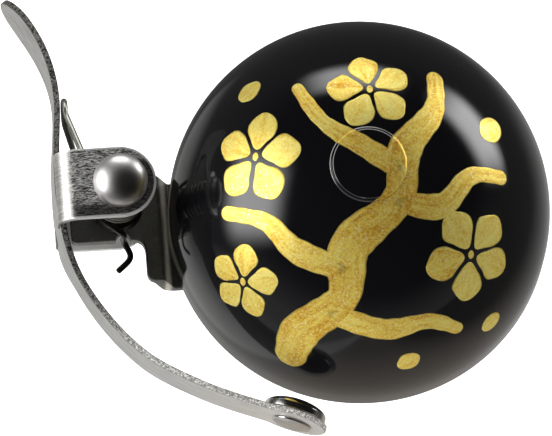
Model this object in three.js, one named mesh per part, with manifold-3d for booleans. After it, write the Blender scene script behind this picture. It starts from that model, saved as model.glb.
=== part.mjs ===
// A lever-struck handlebar bell. A pressed steel dome stands on a turned post, a stamped bracket under it
// carries the post and a side tongue, and a folded sheet lever with a thumb pad and a hammer turns on a
// rivet through that tongue against a double torsion spring. A steel band clamps the lot on a handlebar.
// Millimetres. The origin is the centre of the handlebar under the dome, the handlebar runs along Y,
// +Z is the axis of the dome and the lever stands on the -X side, with its thumb pad towards +Y.
import * as THREE from "three";
import { mergeVertices } from "three/addons/utils/BufferGeometryUtils.js";
import Module from "manifold-3d";

const wasm = await Module();
wasm.setup();

// Clearances between neighbours
const PIN_GAP = 0.15;
const BOLT_GAP = 0.2;
const BED_GAP = 0.1;
const LOOSE_GAP = 0.3;

// How far a cutting solid runs past what it cuts, how near two points count as one, and the facets
// of round pieces
const PAST = 1;
const WELD = 1e-4;
const ROUND = 40;
const DOME_ROUND = 60;
const DOME_INSIDE_STEPS = 14;
const DOME_OUTSIDE_STEPS = 18;
const CROWN_STEPS = 3;
const CURVE_STEPS = 24;
const CORNER_STEPS = 8;
const NOTCH_STEPS = 12;
const HEX = 6;
const FOLD_STEPS = 6;
const HEAD_STEPS = 7;

// Handlebar, its rubber liner and the clamp band
const BAR_R = 11.1;
const LINER_T = 1;
const LINER_W = 12;
const BAND_T = 1.2;
const BAND_W = 14;
const SEAT_HALF = 7.5;
const SEAT_RISE = 2.5;
const SPLIT_W = 5;
const FLANGE_REACH = 10;
const FLANGE_EDGE = 4.2;

// Clamp screw, its washer and its nut
const CLAMP_SCREW_R = 1.9;
const CLAMP_HEAD_R = 3.5;
const CLAMP_HEAD_H = 2.4;
const CLAMP_WASHER_R = 4;
const CLAMP_WASHER_T = 0.8;
const CLAMP_NUT_FLATS = 7;
const CLAMP_NUT_H = 3.2;
const CLAMP_TAIL = 2.2;
const SLOT_W = 1;
const SLOT_DEPTH = 1.1;

// Post under the dome, the screw and the lock washer that hold it
const MOUNT_SCREW_R = 2.4;
const MOUNT_HEAD_R = 3.9;
const MOUNT_HEAD_H = 1.9;
const MOUNT_SOCKET_R = 1.6;
const MOUNT_SOCKET_DEPTH = 1.1;
const MOUNT_GRIP = 6;
const LOCK_WASHER_R = 5.2;
const LOCK_WASHER_T = 0.8;
const POST_R = 3.9;
const POST_FLANGE_R = 6;
const POST_FLANGE_H = 1.6;
const STUD_R = 2.9;
const STUD_LENGTH = 5.2;
const BOSS_R = 4.8;
const BOSS_H = 7;

// Dome
const DOME_R = 27.5;
const DOME_WALL = 1.2;
const DOME_SKIRT = 3.8;
const RIM_RISE = 3.2;
const CROWN_R = 5.5;
const CROWN_LIP = 0.5;
const CROWN_RISE = 0.3;
const CROWN_WALL = 1.8;

// Stamped bracket: the base strip under the dome, the joggle up to the side plate, and the tongue
const BRACKET_T = 1.8;
const BRACKET_HALF = 7.8;
const TONGUE_DROP = 1.5;
const BEND_OUT = 1.2;
const JOGGLE_DEG = 72;
const BEND_R = 0.5;
const BEND_BACK_R = 1.2;
const PLATE_LENGTH = 2.3;
const PLATE_CORNER_R = 1.4;
const TONGUE_FILLET_R = 2;
const TONGUE_CORNER_R = 1;
const TONGUE_END_GAP = 1.4;
const NOTCH_R = 1.1;

// Pivot rivet and the sleeve that keeps the ears apart
const PIVOT_OUT = 7.2;
const PIVOT_ASIDE = 3.1;
const RIVET_R = 2;
const RIVET_HEAD_R = 3.9;
const RIVET_HEAD_EDGE = 0.6;
const RIVET_HEAD_DOME = 2.5;
const RIVET_TAIL_R = 3;
const RIVET_TAIL_H = 1.2;
const RIVET_TAIL_FACE_R = 2.1;
const SLEEVE_WALL = 0.45;
const PIVOT_WASHER_R = 3.4;
const PIVOT_WASHER_T = 1;

// Lever: one folded sheet with two ears, a thumb pad and an arm that ends in the hammer's pad
const LEVER_T = 0.9;
const EAR_SPAN = 19.7;
const EAR_R = 5.15;
const FOLD_R = 3;
const FOOT_TAPER = 0.3;
const EAR_LAP = 0.25;
const STANDOFF = 9.15;
const SHOULDER = 8;
const SHOULDER_START = 5.4;
const WAIST_W = 9.4;
const WAIST_REACH = 13.9;
const WAIST_INSET = 0.7;
const THUMB_W = 12.2;
const THUMB_REACH = 29.8;
const THUMB_FLARE = 6.5;
const ARM_W = 7.8;
const PAD_R = 5;
// The arm's way in towards the dome: the angle round the dome's axis, and the share of the way made good
const ARM_COURSE = [
  [8, 0.07],
  [20.2, 0.26],
  [33.4, 0.48],
  [46.2, 0.755],
  [55, 0.9],
];
const LEVER_STATIONS = 80;
const THUMB_SHARES = [1, 0.75, 0.5, 0.25];
const TIP_SHARES = [0.02, 0.08, 0.2, 0.4, 0.7];

// Hammer
const HAMMER_R = 4.5;
const HAMMER_EDGE = 0.8;
const HAMMER_DOME = 1.5;
const HAMMER_GAP = 3.45;
const HAMMER_DEG = 68.7;
const HAMMER_STUD_R = 1.6;
const HAMMER_BACK_R = 2.85;
const HAMMER_BACK_H = 0.5;
const HAMMER_BACK_FACE_R = 2.3;

// Double torsion spring: two coils of opposite hand, joined by a hairpin that leans on the lever
const WIRE_R = 0.45;
const COIL_R = 3.3;
const COIL_PITCH = 1.37;
const LOWER_TURNS = 2;
const UPPER_TURNS = 5;
const UPPER_END_DEG = 30;
const UPPER_ROOM = 1;
const LEG_LEVEL = 3.2;
const HAIRPIN_REACH = 12.25;
const HAIRPIN_R = 2.6;
const TAIL_RUN = 3.3;
const CURL_STEPS = 8;
const WIRE_SIDES = 5;
const HAIRPIN_STEPS = 8;
const TAIL_STEPS = 3;
const APART = 6 * WIRE_R;
const HOOK_SINK = 1.1;
const HOOK_BEND_R = 0.8;
const HOOK_CORNER = 0.2;
const TAIL_BEND_R = 1;
const HOOK = [
  [0.6, -4.8],
  [1.8, -7.3],
  [-0.6, -9.3],
];

// The pivot and the bracket's upper bend stand out from the dome
const PIVOT = { x: -(DOME_R + PIVOT_OUT), y: PIVOT_ASIDE };
const bendX = -(DOME_R + BEND_OUT);

// Heights above the middle of the handlebar
const linerR = BAR_R + LINER_T;
const bandR = linerR + BED_GAP;
const seatUnder = bandR + SEAT_RISE;
const seatTop = seatUnder + BAND_T;
const baseTop = seatTop + BRACKET_T;
const postFoot = baseTop + LOCK_WASHER_T;
const rimZ = baseTop + RIM_RISE;
const equatorZ = rimZ + DOME_SKIRT;
const crownZ = equatorZ + DOME_R + CROWN_RISE;
const crownUnder = crownZ - CROWN_WALL;
const tongueTop = equatorZ - TONGUE_DROP;
const tongueUnder = tongueTop - BRACKET_T;
const lowerEarTop = tongueUnder - PIVOT_WASHER_T - LOOSE_GAP;
const lowerEarUnder = lowerEarTop - LEVER_T;
const upperEarTop = lowerEarUnder + EAR_SPAN;
const upperEarUnder = upperEarTop - LEVER_T;
const leverMid = (lowerEarUnder + upperEarTop) / 2;
const flangeEnd = -(bandR + BAND_T + FLANGE_REACH);
const clampZ = flangeEnd + FLANGE_EDGE;
const flangeOut = SPLIT_W / 2 + BAND_T;
const tongueHalf = BRACKET_HALF - PIVOT.y;
const plateX = bendX - PLATE_LENGTH;
const tongueEnd = PIVOT.x - STANDOFF + LEVER_T + TONGUE_END_GAP;
const rad = THREE.MathUtils.degToRad;

// Materials, as the photograph shows the finishes
const FINISH = {
  lacquer: { color: 0x0b0b0c, roughness: 0.12, metalness: 0.2 },
  nickel: { color: 0xb9b6ae, roughness: 0.28, metalness: 1 },
  steel: { color: 0x6c6c6b, roughness: 0.32, metalness: 1 },
  zinc: { color: 0x9a9b9c, roughness: 0.38, metalness: 1 },
  darkSteel: { color: 0x2b2b2c, roughness: 0.3, metalness: 0.9 },
  nylon: { color: 0xcfcabd, roughness: 0.55, metalness: 0 },
  rubber: { color: 0x151515, roughness: 0.85, metalness: 0 },
};

const assembly = new THREE.Group();

// Joins and cuts: a closed geometry becomes a solid, and a solid becomes a geometry again
function solidOf(geometry) {
  const bare = geometry.clone();
  for (const name of Object.keys(bare.attributes)) {
    if (name !== "position") bare.deleteAttribute(name);
  }
  const merged = mergeVertices(bare, WELD);
  return new wasm.Manifold(
    new wasm.Mesh({
      numProp: 3,
      vertProperties: merged.attributes.position.array,
      triVerts: new Uint32Array(merged.index.array),
    }),
  );
}

function geometryOf(solid) {
  const mesh = solid.getMesh();
  const geometry = new THREE.BufferGeometry();
  geometry.setAttribute("position", new THREE.BufferAttribute(mesh.vertProperties, 3));
  geometry.setIndex(new THREE.BufferAttribute(mesh.triVerts, 1));
  geometry.computeVertexNormals();
  return geometry;
}

function place(name, geometry, finish) {
  const mesh = new THREE.Mesh(geometry, new THREE.MeshStandardMaterial(FINISH[finish]));
  mesh.name = name;
  assembly.add(mesh);
  return mesh;
}

// A plan outline (x, y) raised from one height to another
function slab(shape, low, high, curveSegments = CURVE_STEPS) {
  const geometry = new THREE.ExtrudeGeometry(shape, {
    depth: high - low,
    bevelEnabled: false,
    curveSegments,
  });
  return solidOf(geometry.translate(0, 0, low));
}

// A side outline (x, z) drawn out along Y, centred on y
function rail(shape, width, y = 0, curveSegments = CURVE_STEPS) {
  const geometry = new THREE.ExtrudeGeometry(shape, {
    depth: width,
    bevelEnabled: false,
    curveSegments,
  });
  return solidOf(geometry.rotateX(Math.PI / 2).translate(0, y + width / 2, 0));
}

// A turned piece: [radius, height] pairs, revolved round Z
function turned(profile, segments = ROUND) {
  const points = profile.map(([r, z]) => new THREE.Vector2(r, z));
  return solidOf(new THREE.LatheGeometry(points, segments).rotateX(Math.PI / 2));
}

function disc(radius, low, high, segments = ROUND) {
  return turned(
    [
      [0, low],
      [radius, low],
      [radius, high],
      [0, high],
    ],
    segments,
  );
}

function ring(inner, outer, low, high, segments = ROUND) {
  return turned(
    [
      [inner, low],
      [outer, low],
      [outer, high],
      [inner, high],
      [inner, low],
    ],
    segments,
  );
}

function rectangle(x0, y0, x1, y1) {
  const shape = new THREE.Shape();
  shape.moveTo(x0, y0);
  shape.lineTo(x1, y0);
  shape.lineTo(x1, y1);
  shape.lineTo(x0, y1);
  shape.closePath();
  return shape;
}

function circle(radius, x = 0, y = 0) {
  const shape = new THREE.Shape();
  shape.absarc(x, y, radius, 0, 2 * Math.PI);
  return shape;
}

// Points of an arc as [x, y] pairs, both ends included
function arcPoints(x, y, radius, fromDeg, toDeg, steps) {
  return Array.from({ length: steps + 1 }, (_, i) => {
    const a = rad(fromDeg + ((toDeg - fromDeg) * i) / steps);
    return [x + radius * Math.cos(a), y + radius * Math.sin(a)];
  });
}

// Dome: sphere, short skirt and raised crown disc outside; sphere and flat seat for the boss inside
function domeGeometry() {
  const inner = DOME_R - DOME_WALL;
  const lipDeg = THREE.MathUtils.radToDeg(Math.acos(CROWN_R / DOME_R));
  const seatDeg = THREE.MathUtils.radToDeg(Math.acos(CROWN_R / inner));
  const crownSphere = DOME_R + CROWN_RISE;
  const faceDeg = THREE.MathUtils.radToDeg(Math.acos((CROWN_R - CROWN_LIP) / crownSphere));
  const profile = [
    [0, crownUnder],
    [CROWN_R, crownUnder],
    ...arcPoints(0, equatorZ, inner, seatDeg, 0, DOME_INSIDE_STEPS),
    [inner, rimZ],
    [DOME_R, rimZ],
    ...arcPoints(0, equatorZ, DOME_R, 0, lipDeg, DOME_OUTSIDE_STEPS),
    ...arcPoints(0, equatorZ, crownSphere, faceDeg, 90, CROWN_STEPS).slice(0, -1),
    [0, crownZ],
  ];
  return geometryOf(turned(profile, DOME_ROUND));
}

function bossGeometry() {
  const foot = crownUnder - BOSS_H;
  const bore = disc(STUD_R + PIN_GAP, foot - PAST, foot + STUD_LENGTH + LOOSE_GAP);
  return geometryOf(disc(BOSS_R, foot, crownUnder).subtract(bore));
}

function postGeometry() {
  const shoulder = crownUnder - BOSS_H;
  const flangeTop = postFoot + POST_FLANGE_H;
  const post = turned([
    [0, postFoot],
    [POST_FLANGE_R, postFoot],
    [POST_FLANGE_R, flangeTop],
    [POST_R, flangeTop],
    [POST_R, shoulder],
    [STUD_R, shoulder],
    [STUD_R, shoulder + STUD_LENGTH],
    [0, shoulder + STUD_LENGTH],
  ]);
  const bore = disc(MOUNT_SCREW_R + PIN_GAP, postFoot - PAST, postFoot + MOUNT_GRIP + LOOSE_GAP);
  return geometryOf(post.subtract(bore));
}

function mountScrewGeometry() {
  const screw = turned([
    [0, seatUnder - MOUNT_HEAD_H],
    [MOUNT_HEAD_R, seatUnder - MOUNT_HEAD_H],
    [MOUNT_HEAD_R, seatUnder],
    [MOUNT_SCREW_R, seatUnder],
    [MOUNT_SCREW_R, postFoot + MOUNT_GRIP],
    [0, postFoot + MOUNT_GRIP],
  ]);
  const headFace = seatUnder - MOUNT_HEAD_H;
  const socket = disc(MOUNT_SOCKET_R, headFace - PAST, headFace + MOUNT_SOCKET_DEPTH, HEX);
  return geometryOf(screw.subtract(socket));
}

// Bracket: the strip's side outline, trimmed by the plan outline of the stamping
function bracketGeometry() {
  const slope = rad(JOGGLE_DEG);
  const run = (tongueTop - baseTop) / Math.tan(slope);
  const tilt = BRACKET_T * Math.tan(slope / 2);
  const side = new THREE.Shape();
  const corners = [
    [tongueEnd, tongueTop],
    [bendX, tongueTop],
    [bendX + run, baseTop],
    [BRACKET_HALF, baseTop],
    [BRACKET_HALF, seatTop],
    [bendX + run - tilt, seatTop],
    [bendX - tilt, tongueUnder],
    [tongueEnd, tongueUnder],
  ];
  const bends = [0, BEND_BACK_R, BEND_R, 0, 0, BEND_R + BRACKET_T, BEND_R, 0];
  roundedOutline(side, corners, bends);
  const strip = rail(side, 2 * BRACKET_HALF);

  const plan = new THREE.Shape();
  roundedOutline(
    plan,
    [
      [BRACKET_HALF, BRACKET_HALF],
      [tongueEnd, BRACKET_HALF],
      [tongueEnd, PIVOT.y - tongueHalf],
      [plateX, PIVOT.y - tongueHalf],
      [plateX, -BRACKET_HALF],
      [BRACKET_HALF, -BRACKET_HALF],
    ],
    [
      BRACKET_HALF - LOOSE_GAP,
      TONGUE_CORNER_R,
      TONGUE_CORNER_R,
      TONGUE_FILLET_R,
      PLATE_CORNER_R,
      BRACKET_HALF - LOOSE_GAP,
    ],
  );
  const hookNotch = circle(NOTCH_R, PIVOT.x + HOOK[0][0], PIVOT.y + HOOK[0][1]);
  const tail = springTail();
  const tailNotch = circle(NOTCH_R, PIVOT.x + tail.x, PIVOT.y + tail.y);
  const low = seatTop - PAST;
  const high = tongueTop + PAST;
  return geometryOf(
    strip
      .intersect(slab(plan, low, high, CORNER_STEPS))
      .subtract(slab(circle(MOUNT_SCREW_R + BOLT_GAP), low, high))
      .subtract(slab(circle(RIVET_R + PIN_GAP, PIVOT.x, PIVOT.y), low, high))
      .subtract(slab(hookNotch, low, high, NOTCH_STEPS))
      .subtract(slab(tailNotch, low, high, NOTCH_STEPS)),
  );
}

// A closed outline of straight runs with each corner rounded by its own radius
function roundedOutline(shape, corners, radii) {
  const count = corners.length;
  corners.forEach(([x, y], i) => {
    const [px, py] = corners[(i + count - 1) % count];
    const [nx, ny] = corners[(i + 1) % count];
    const back = new THREE.Vector2(px - x, py - y).normalize();
    const on = new THREE.Vector2(nx - x, ny - y).normalize();
    const half = Math.acos(THREE.MathUtils.clamp(back.dot(on), -1, 1)) / 2;
    const cut = radii[i] / Math.tan(half);
    const start = back.multiplyScalar(cut).add(new THREE.Vector2(x, y));
    const end = on.multiplyScalar(cut).add(new THREE.Vector2(x, y));
    if (i === 0) shape.moveTo(start.x, start.y);
    else shape.lineTo(start.x, start.y);
    if (radii[i] > 0) shape.quadraticCurveTo(x, y, end.x, end.y);
  });
  shape.closePath();
}

// Clamp band: a strap round the bar with a flat seat on top and two flanges below
function bandGeometry() {
  const outer = bandR + BAND_T;
  const strap = rail(circle(outer), BAND_W)
    .add(rail(rectangle(-SEAT_HALF, 0, SEAT_HALF, seatTop), BAND_W))
    .add(rail(rectangle(-flangeOut, flangeEnd, flangeOut, 0), BAND_W));
  const inside = BAND_W + 2 * PAST;
  const seatInside = SEAT_HALF - BAND_T;
  const hollow = rail(circle(bandR), inside)
    .add(rail(rectangle(-seatInside, 0, seatInside, seatUnder), inside))
    .add(rail(rectangle(-SPLIT_W / 2, flangeEnd - PAST, SPLIT_W / 2, 0), inside));
  const boltHole = disc(CLAMP_SCREW_R + BOLT_GAP, -flangeOut - PAST, flangeOut + PAST)
    .rotate([0, 90, 0])
    .translate([0, 0, clampZ]);
  const seatHole = disc(MOUNT_SCREW_R + BOLT_GAP, seatUnder - PAST, seatTop + PAST);
  return geometryOf(strap.subtract(hollow).subtract(boltHole).subtract(seatHole));
}

function linerGeometry() {
  const split = rectangle(-SPLIT_W / 2, -linerR - PAST, SPLIT_W / 2, 0);
  return geometryOf(
    rail(circle(linerR), LINER_W)
      .subtract(rail(circle(BAR_R), LINER_W + 2 * PAST))
      .subtract(rail(split, LINER_W + 2 * PAST)),
  );
}

// The clamp screw's pieces are turned round Z and then laid along X
function alongClamp(solid) {
  return geometryOf(solid.rotate([0, 90, 0]).translate([0, 0, clampZ]));
}

function clampScrewGeometry() {
  const under = flangeOut + CLAMP_WASHER_T;
  const tip = -(flangeOut + CLAMP_NUT_H + CLAMP_TAIL);
  const screw = turned([
    [0, tip],
    [CLAMP_SCREW_R, tip],
    [CLAMP_SCREW_R, under],
    [CLAMP_HEAD_R, under],
    [CLAMP_HEAD_R, under + CLAMP_HEAD_H / 2],
    [CLAMP_HEAD_R / 2, under + CLAMP_HEAD_H],
    [0, under + CLAMP_HEAD_H],
  ]);
  const top = under + CLAMP_HEAD_H;
  const slot = slab(
    rectangle(-SLOT_W / 2, -CLAMP_HEAD_R, SLOT_W / 2, CLAMP_HEAD_R),
    top - SLOT_DEPTH,
    top + PAST,
  );
  return alongClamp(screw.subtract(slot));
}

function clampWasherGeometry() {
  return alongClamp(
    ring(CLAMP_SCREW_R + BOLT_GAP, CLAMP_WASHER_R, flangeOut, flangeOut + CLAMP_WASHER_T),
  );
}

function clampNutGeometry() {
  const corner = CLAMP_NUT_FLATS / 2 / Math.cos(Math.PI / HEX);
  const nut = disc(corner, -flangeOut - CLAMP_NUT_H, -flangeOut, HEX);
  const bore = disc(CLAMP_SCREW_R + PIN_GAP, -flangeOut - CLAMP_NUT_H - PAST, 0);
  return alongClamp(nut.subtract(bore));
}

function lockWasherGeometry() {
  return geometryOf(ring(MOUNT_SCREW_R + BOLT_GAP, LOCK_WASHER_R, baseTop, postFoot));
}

// Where the hammer stands: the outer face of its pad, at its angle round the dome's axis
const hammerHeight = leverMid - equatorZ;
const domeAtHammer = Math.sqrt(DOME_R ** 2 - hammerHeight ** 2);
const padRadius = domeAtHammer + HAMMER_GAP + HAMMER_DOME + HAMMER_EDGE + LEVER_T;

function polar(radius, degrees) {
  const a = rad(180 + degrees);
  return new THREE.Vector3(radius * Math.cos(a), radius * Math.sin(a), 0);
}

// The outer face of the lever seen from above, from the thumb tip past the pivot to the hammer's pad
function leverCourse() {
  const face = PIVOT.x - STANDOFF;
  const waist = face + WAIST_INSET;
  const thumb = THUMB_SHARES.map(
    (u) =>
      new THREE.Vector3(
        waist - THUMB_FLARE * u * u,
        PIVOT.y + WAIST_REACH + (THUMB_REACH - WAIST_REACH) * u,
        0,
      ),
  );
  const start = Math.hypot(face, PIVOT.y - SHOULDER_START);
  const share = (s) => start + (padRadius - start) * s;
  const arm = ARM_COURSE.map(([degrees, s]) => polar(share(s), degrees));
  const pad = polar(padRadius, HAMMER_DEG);
  const along = new THREE.Vector3().subVectors(pad, arm[arm.length - 1]).normalize();
  const end = pad.clone().addScaledVector(along, PAD_R);
  return new THREE.CatmullRomCurve3(
    [
      ...thumb,
      new THREE.Vector3(waist, PIVOT.y + WAIST_REACH, 0),
      new THREE.Vector3(face, PIVOT.y + EAR_R, 0),
      new THREE.Vector3(face, PIVOT.y - EAR_R / 2, 0),
      ...arm,
      pad.clone().addScaledVector(along, -PAD_R),
      end,
    ],
    false,
    "centripetal",
  );
}

const course = leverCourse();
const courseLength = course.getLength();
const padAt = 1 - PAD_R / courseLength;
const padPoint = course.getPointAt(padAt);
const padAlong = course.getTangentAt(padAt);
const padNormal = new THREE.Vector3(-padAlong.y, padAlong.x, 0);

// Half the lever's height at a distance along the course; between the ears it stops a lap short of the folds
function leverHalf(distance, pivotAt) {
  const tip = THUMB_W / 2;
  const fold = EAR_SPAN / 2 - FOLD_R - EAR_LAP;
  const away = Math.abs(distance - pivotAt);
  const spread = THREE.MathUtils.smoothstep(away, WAIST_REACH, THUMB_REACH - tip);
  const thumb = (WAIST_W + (THUMB_W - WAIST_W) * spread) / 2;
  const limb = distance < pivotAt ? thumb : ARM_W / 2;
  const ease = THREE.MathUtils.smoothstep(away, SHOULDER_START, SHOULDER_START + SHOULDER);
  let half = fold + (limb - fold) * ease;
  if (distance < tip) half = Math.sqrt(Math.max(0, tip ** 2 - (tip - distance) ** 2));
  const fromPad = distance - padAt * courseLength;
  const inPad = Math.sqrt(Math.max(0, PAD_R ** 2 - fromPad ** 2));
  if (fromPad > 0) return inPad;
  return Math.max(half, inPad);
}

// The lever's sheet: rectangular sections along the course, closed at both rounded ends
function sheetSolid() {
  let pivotAt = 0;
  let nearest = Infinity;
  for (let i = 0; i <= LEVER_STATIONS; i++) {
    const off = Math.abs(course.getPointAt(i / LEVER_STATIONS).y - PIVOT.y);
    if (off < nearest) {
      nearest = off;
      pivotAt = (i / LEVER_STATIONS) * courseLength;
    }
  }
  const tips = TIP_SHARES.map((u) => u * (THUMB_W / 2));
  const ends = TIP_SHARES.map((u) => courseLength - u * PAD_R).reverse();
  const body = [];
  for (let i = 0; i <= LEVER_STATIONS; i++) {
    const s = (i / LEVER_STATIONS) * courseLength;
    if (s > THUMB_W / 2 && s < courseLength - PAD_R) body.push(s);
  }
  const stations = [...tips, ...body, ...ends];
  const positions = [];
  const index = [];
  stations.forEach((s) => {
    const p = course.getPointAt(s / courseLength);
    const t = course.getTangentAt(s / courseLength);
    const half = leverHalf(s, pivotAt);
    const inner = new THREE.Vector3(-t.y, t.x, 0).multiplyScalar(LEVER_T).add(p);
    positions.push(
      ...[p.x, p.y, leverMid - half],
      ...[p.x, p.y, leverMid + half],
      ...[inner.x, inner.y, leverMid + half],
      ...[inner.x, inner.y, leverMid - half],
    );
  });
  for (let i = 0; i + 1 < stations.length; i++) {
    for (let k = 0; k < 4; k++) {
      const a = 4 * i + k;
      const b = 4 * i + ((k + 1) % 4);
      index.push(a, a + 4, b, b, a + 4, b + 4);
    }
  }
  const last = positions.length / 3 - 4;
  index.push(0, 1, 2, 0, 2, 3);
  index.push(last, last + 2, last + 1, last, last + 3, last + 2);
  const geometry = new THREE.BufferGeometry();
  geometry.setAttribute("position", new THREE.Float32BufferAttribute(positions, 3));
  geometry.setIndex(index);
  return solidOf(geometry);
}

// One ear: a foot that narrows inside the sheet, the fold and the flat ear round the rivet; up is 1 for
// the upper ear
function earSolid(outerFace, up) {
  const face = PIVOT.x - STANDOFF;
  const inner = FOLD_R - LEVER_T;
  const z = (depth) => outerFace - up * depth;
  const side = new THREE.Shape();
  const points = [
    [PIVOT.x + EAR_R, z(0)],
    ...arcPoints(0, 0, 1, 90, 180, FOLD_STEPS).map(([x, y]) => [
      face + FOLD_R + FOLD_R * x,
      z(FOLD_R - FOLD_R * y),
    ]),
    [face + FOOT_TAPER, z(2 * FOLD_R)],
    [face + LEVER_T - FOOT_TAPER, z(2 * FOLD_R)],
    ...arcPoints(0, 0, 1, 180, 90, FOLD_STEPS).map(([x, y]) => [
      face + FOLD_R + inner * x,
      z(FOLD_R - inner * y),
    ]),
    [PIVOT.x + EAR_R, z(LEVER_T)],
  ];
  points.forEach(([x, y], i) => (i ? side.lineTo(x, y) : side.moveTo(x, y)));
  side.closePath();
  const low = lowerEarUnder - PAST;
  const high = upperEarTop + PAST;
  const plan = slab(circle(EAR_R, PIVOT.x, PIVOT.y), low, high).add(
    slab(rectangle(face - PAST, PIVOT.y - EAR_R, PIVOT.x, PIVOT.y + EAR_R), low, high),
  );
  return rail(side, 2 * EAR_R, PIVOT.y).intersect(plan);
}

// A solid turned round Z, laid with its +Z along the pad's inward normal at the hammer
function atHammer(solid) {
  const toInward = THREE.MathUtils.radToDeg(Math.atan2(padNormal.y, padNormal.x));
  return solid
    .rotate([0, 90, 0])
    .rotate([0, 0, toInward])
    .translate([padPoint.x, padPoint.y, leverMid]);
}

function leverGeometry() {
  const rivetHole = slab(
    circle(RIVET_R + PIN_GAP, PIVOT.x, PIVOT.y),
    lowerEarUnder - PAST,
    upperEarTop + PAST,
  );
  const hammerHole = atHammer(disc(HAMMER_STUD_R + PIN_GAP, -LEVER_T, 2 * LEVER_T));
  return geometryOf(
    sheetSolid()
      .add(earSolid(upperEarTop, 1))
      .add(earSolid(lowerEarUnder, -1))
      .subtract(rivetHole)
      .subtract(hammerHole),
  );
}

function hammerGeometry() {
  const foot = LEVER_T + BED_GAP;
  const brow = foot + HAMMER_EDGE;
  const profile = [
    [0, -BED_GAP - HAMMER_BACK_H],
    [HAMMER_BACK_FACE_R, -BED_GAP - HAMMER_BACK_H],
    [HAMMER_BACK_R, -BED_GAP - HAMMER_BACK_H / 2],
    [HAMMER_BACK_R, -BED_GAP],
    [HAMMER_STUD_R, -BED_GAP],
    [HAMMER_STUD_R, foot],
    [HAMMER_R, foot],
    ...arcPoints(0, 0, 1, 0, 90, HEAD_STEPS).map(([x, y]) => [
      HAMMER_R * x,
      brow + HAMMER_DOME * y,
    ]),
  ];
  profile[profile.length - 1][0] = 0;
  return geometryOf(atHammer(turned(profile)));
}

function rivetGeometry() {
  const head = arcPoints(0, 0, 1, 0, 90, HEAD_STEPS).map(([x, y]) => [
    RIVET_HEAD_R * x,
    upperEarTop + RIVET_HEAD_EDGE + RIVET_HEAD_DOME * y,
  ]);
  head[head.length - 1][0] = 0;
  const tailEnd = lowerEarUnder - RIVET_TAIL_H;
  const profile = [
    [0, tailEnd],
    [RIVET_TAIL_FACE_R, tailEnd],
    [RIVET_TAIL_R, tailEnd + RIVET_TAIL_H / 2],
    [RIVET_TAIL_R, lowerEarUnder],
    [RIVET_R, lowerEarUnder],
    [RIVET_R, upperEarTop],
    [RIVET_HEAD_R, upperEarTop],
    ...head,
  ];
  return geometryOf(turned(profile).translate([PIVOT.x, PIVOT.y, 0]));
}

function sleeveGeometry() {
  const bore = RIVET_R + PIN_GAP;
  const sleeve = ring(bore, bore + SLEEVE_WALL, tongueTop + LOOSE_GAP, upperEarUnder);
  return geometryOf(sleeve.translate([PIVOT.x, PIVOT.y, 0]));
}

function pivotWasherGeometry() {
  const top = lowerEarTop + PIVOT_WASHER_T;
  const washer = ring(RIVET_R + PIN_GAP, PIVOT_WASHER_R, lowerEarTop, top);
  return geometryOf(washer.translate([PIVOT.x, PIVOT.y, 0]));
}

// The upper free end runs off the coil as a tangent and then straight down past the tongue's edge
function springTail() {
  const reach = onCoil(UPPER_END_DEG + 90).setLength(TAIL_RUN);
  return onCoil(UPPER_END_DEG).add(reach);
}

// A point of the coil's centre line, seen from above and counted from the pivot
function onCoil(degrees) {
  return new THREE.Vector2(COIL_R * Math.cos(rad(degrees)), COIL_R * Math.sin(rad(degrees)));
}

// A coil's centre line from the hairpin's leg to its free end, anticlockwise seen from above
function coilPoints(fromDeg, toDeg, turns, startZ, pitch) {
  const sweep = ((toDeg - fromDeg + 360) % 360) + 360 * turns;
  const steps = Math.ceil((sweep / 360) * CURL_STEPS);
  return Array.from({ length: steps + 1 }, (_, i) => {
    const turned = (sweep * i) / steps;
    const p = onCoil(fromDeg + turned);
    return new THREE.Vector3(p.x, p.y, startZ + (pitch * turned) / 360);
  });
}

// A free end: on from the coil as a tangent, over a small bend and straight down at a place
function dropPoints(end, place, bottom) {
  const back = new THREE.Vector2(end.x, end.y).sub(place).normalize();
  const bend = arcPoints(TAIL_BEND_R, -TAIL_BEND_R, TAIL_BEND_R, 90, 180, TAIL_STEPS);
  const over = bend.map(([x, y]) => atHeight(place.clone().addScaledVector(back, x), end.z + y));
  return [...over, atHeight(place, bottom)];
}

// A point seen from above, set at a height
function atHeight(flat, z) {
  return new THREE.Vector3(flat.x, flat.y, z);
}

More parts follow.
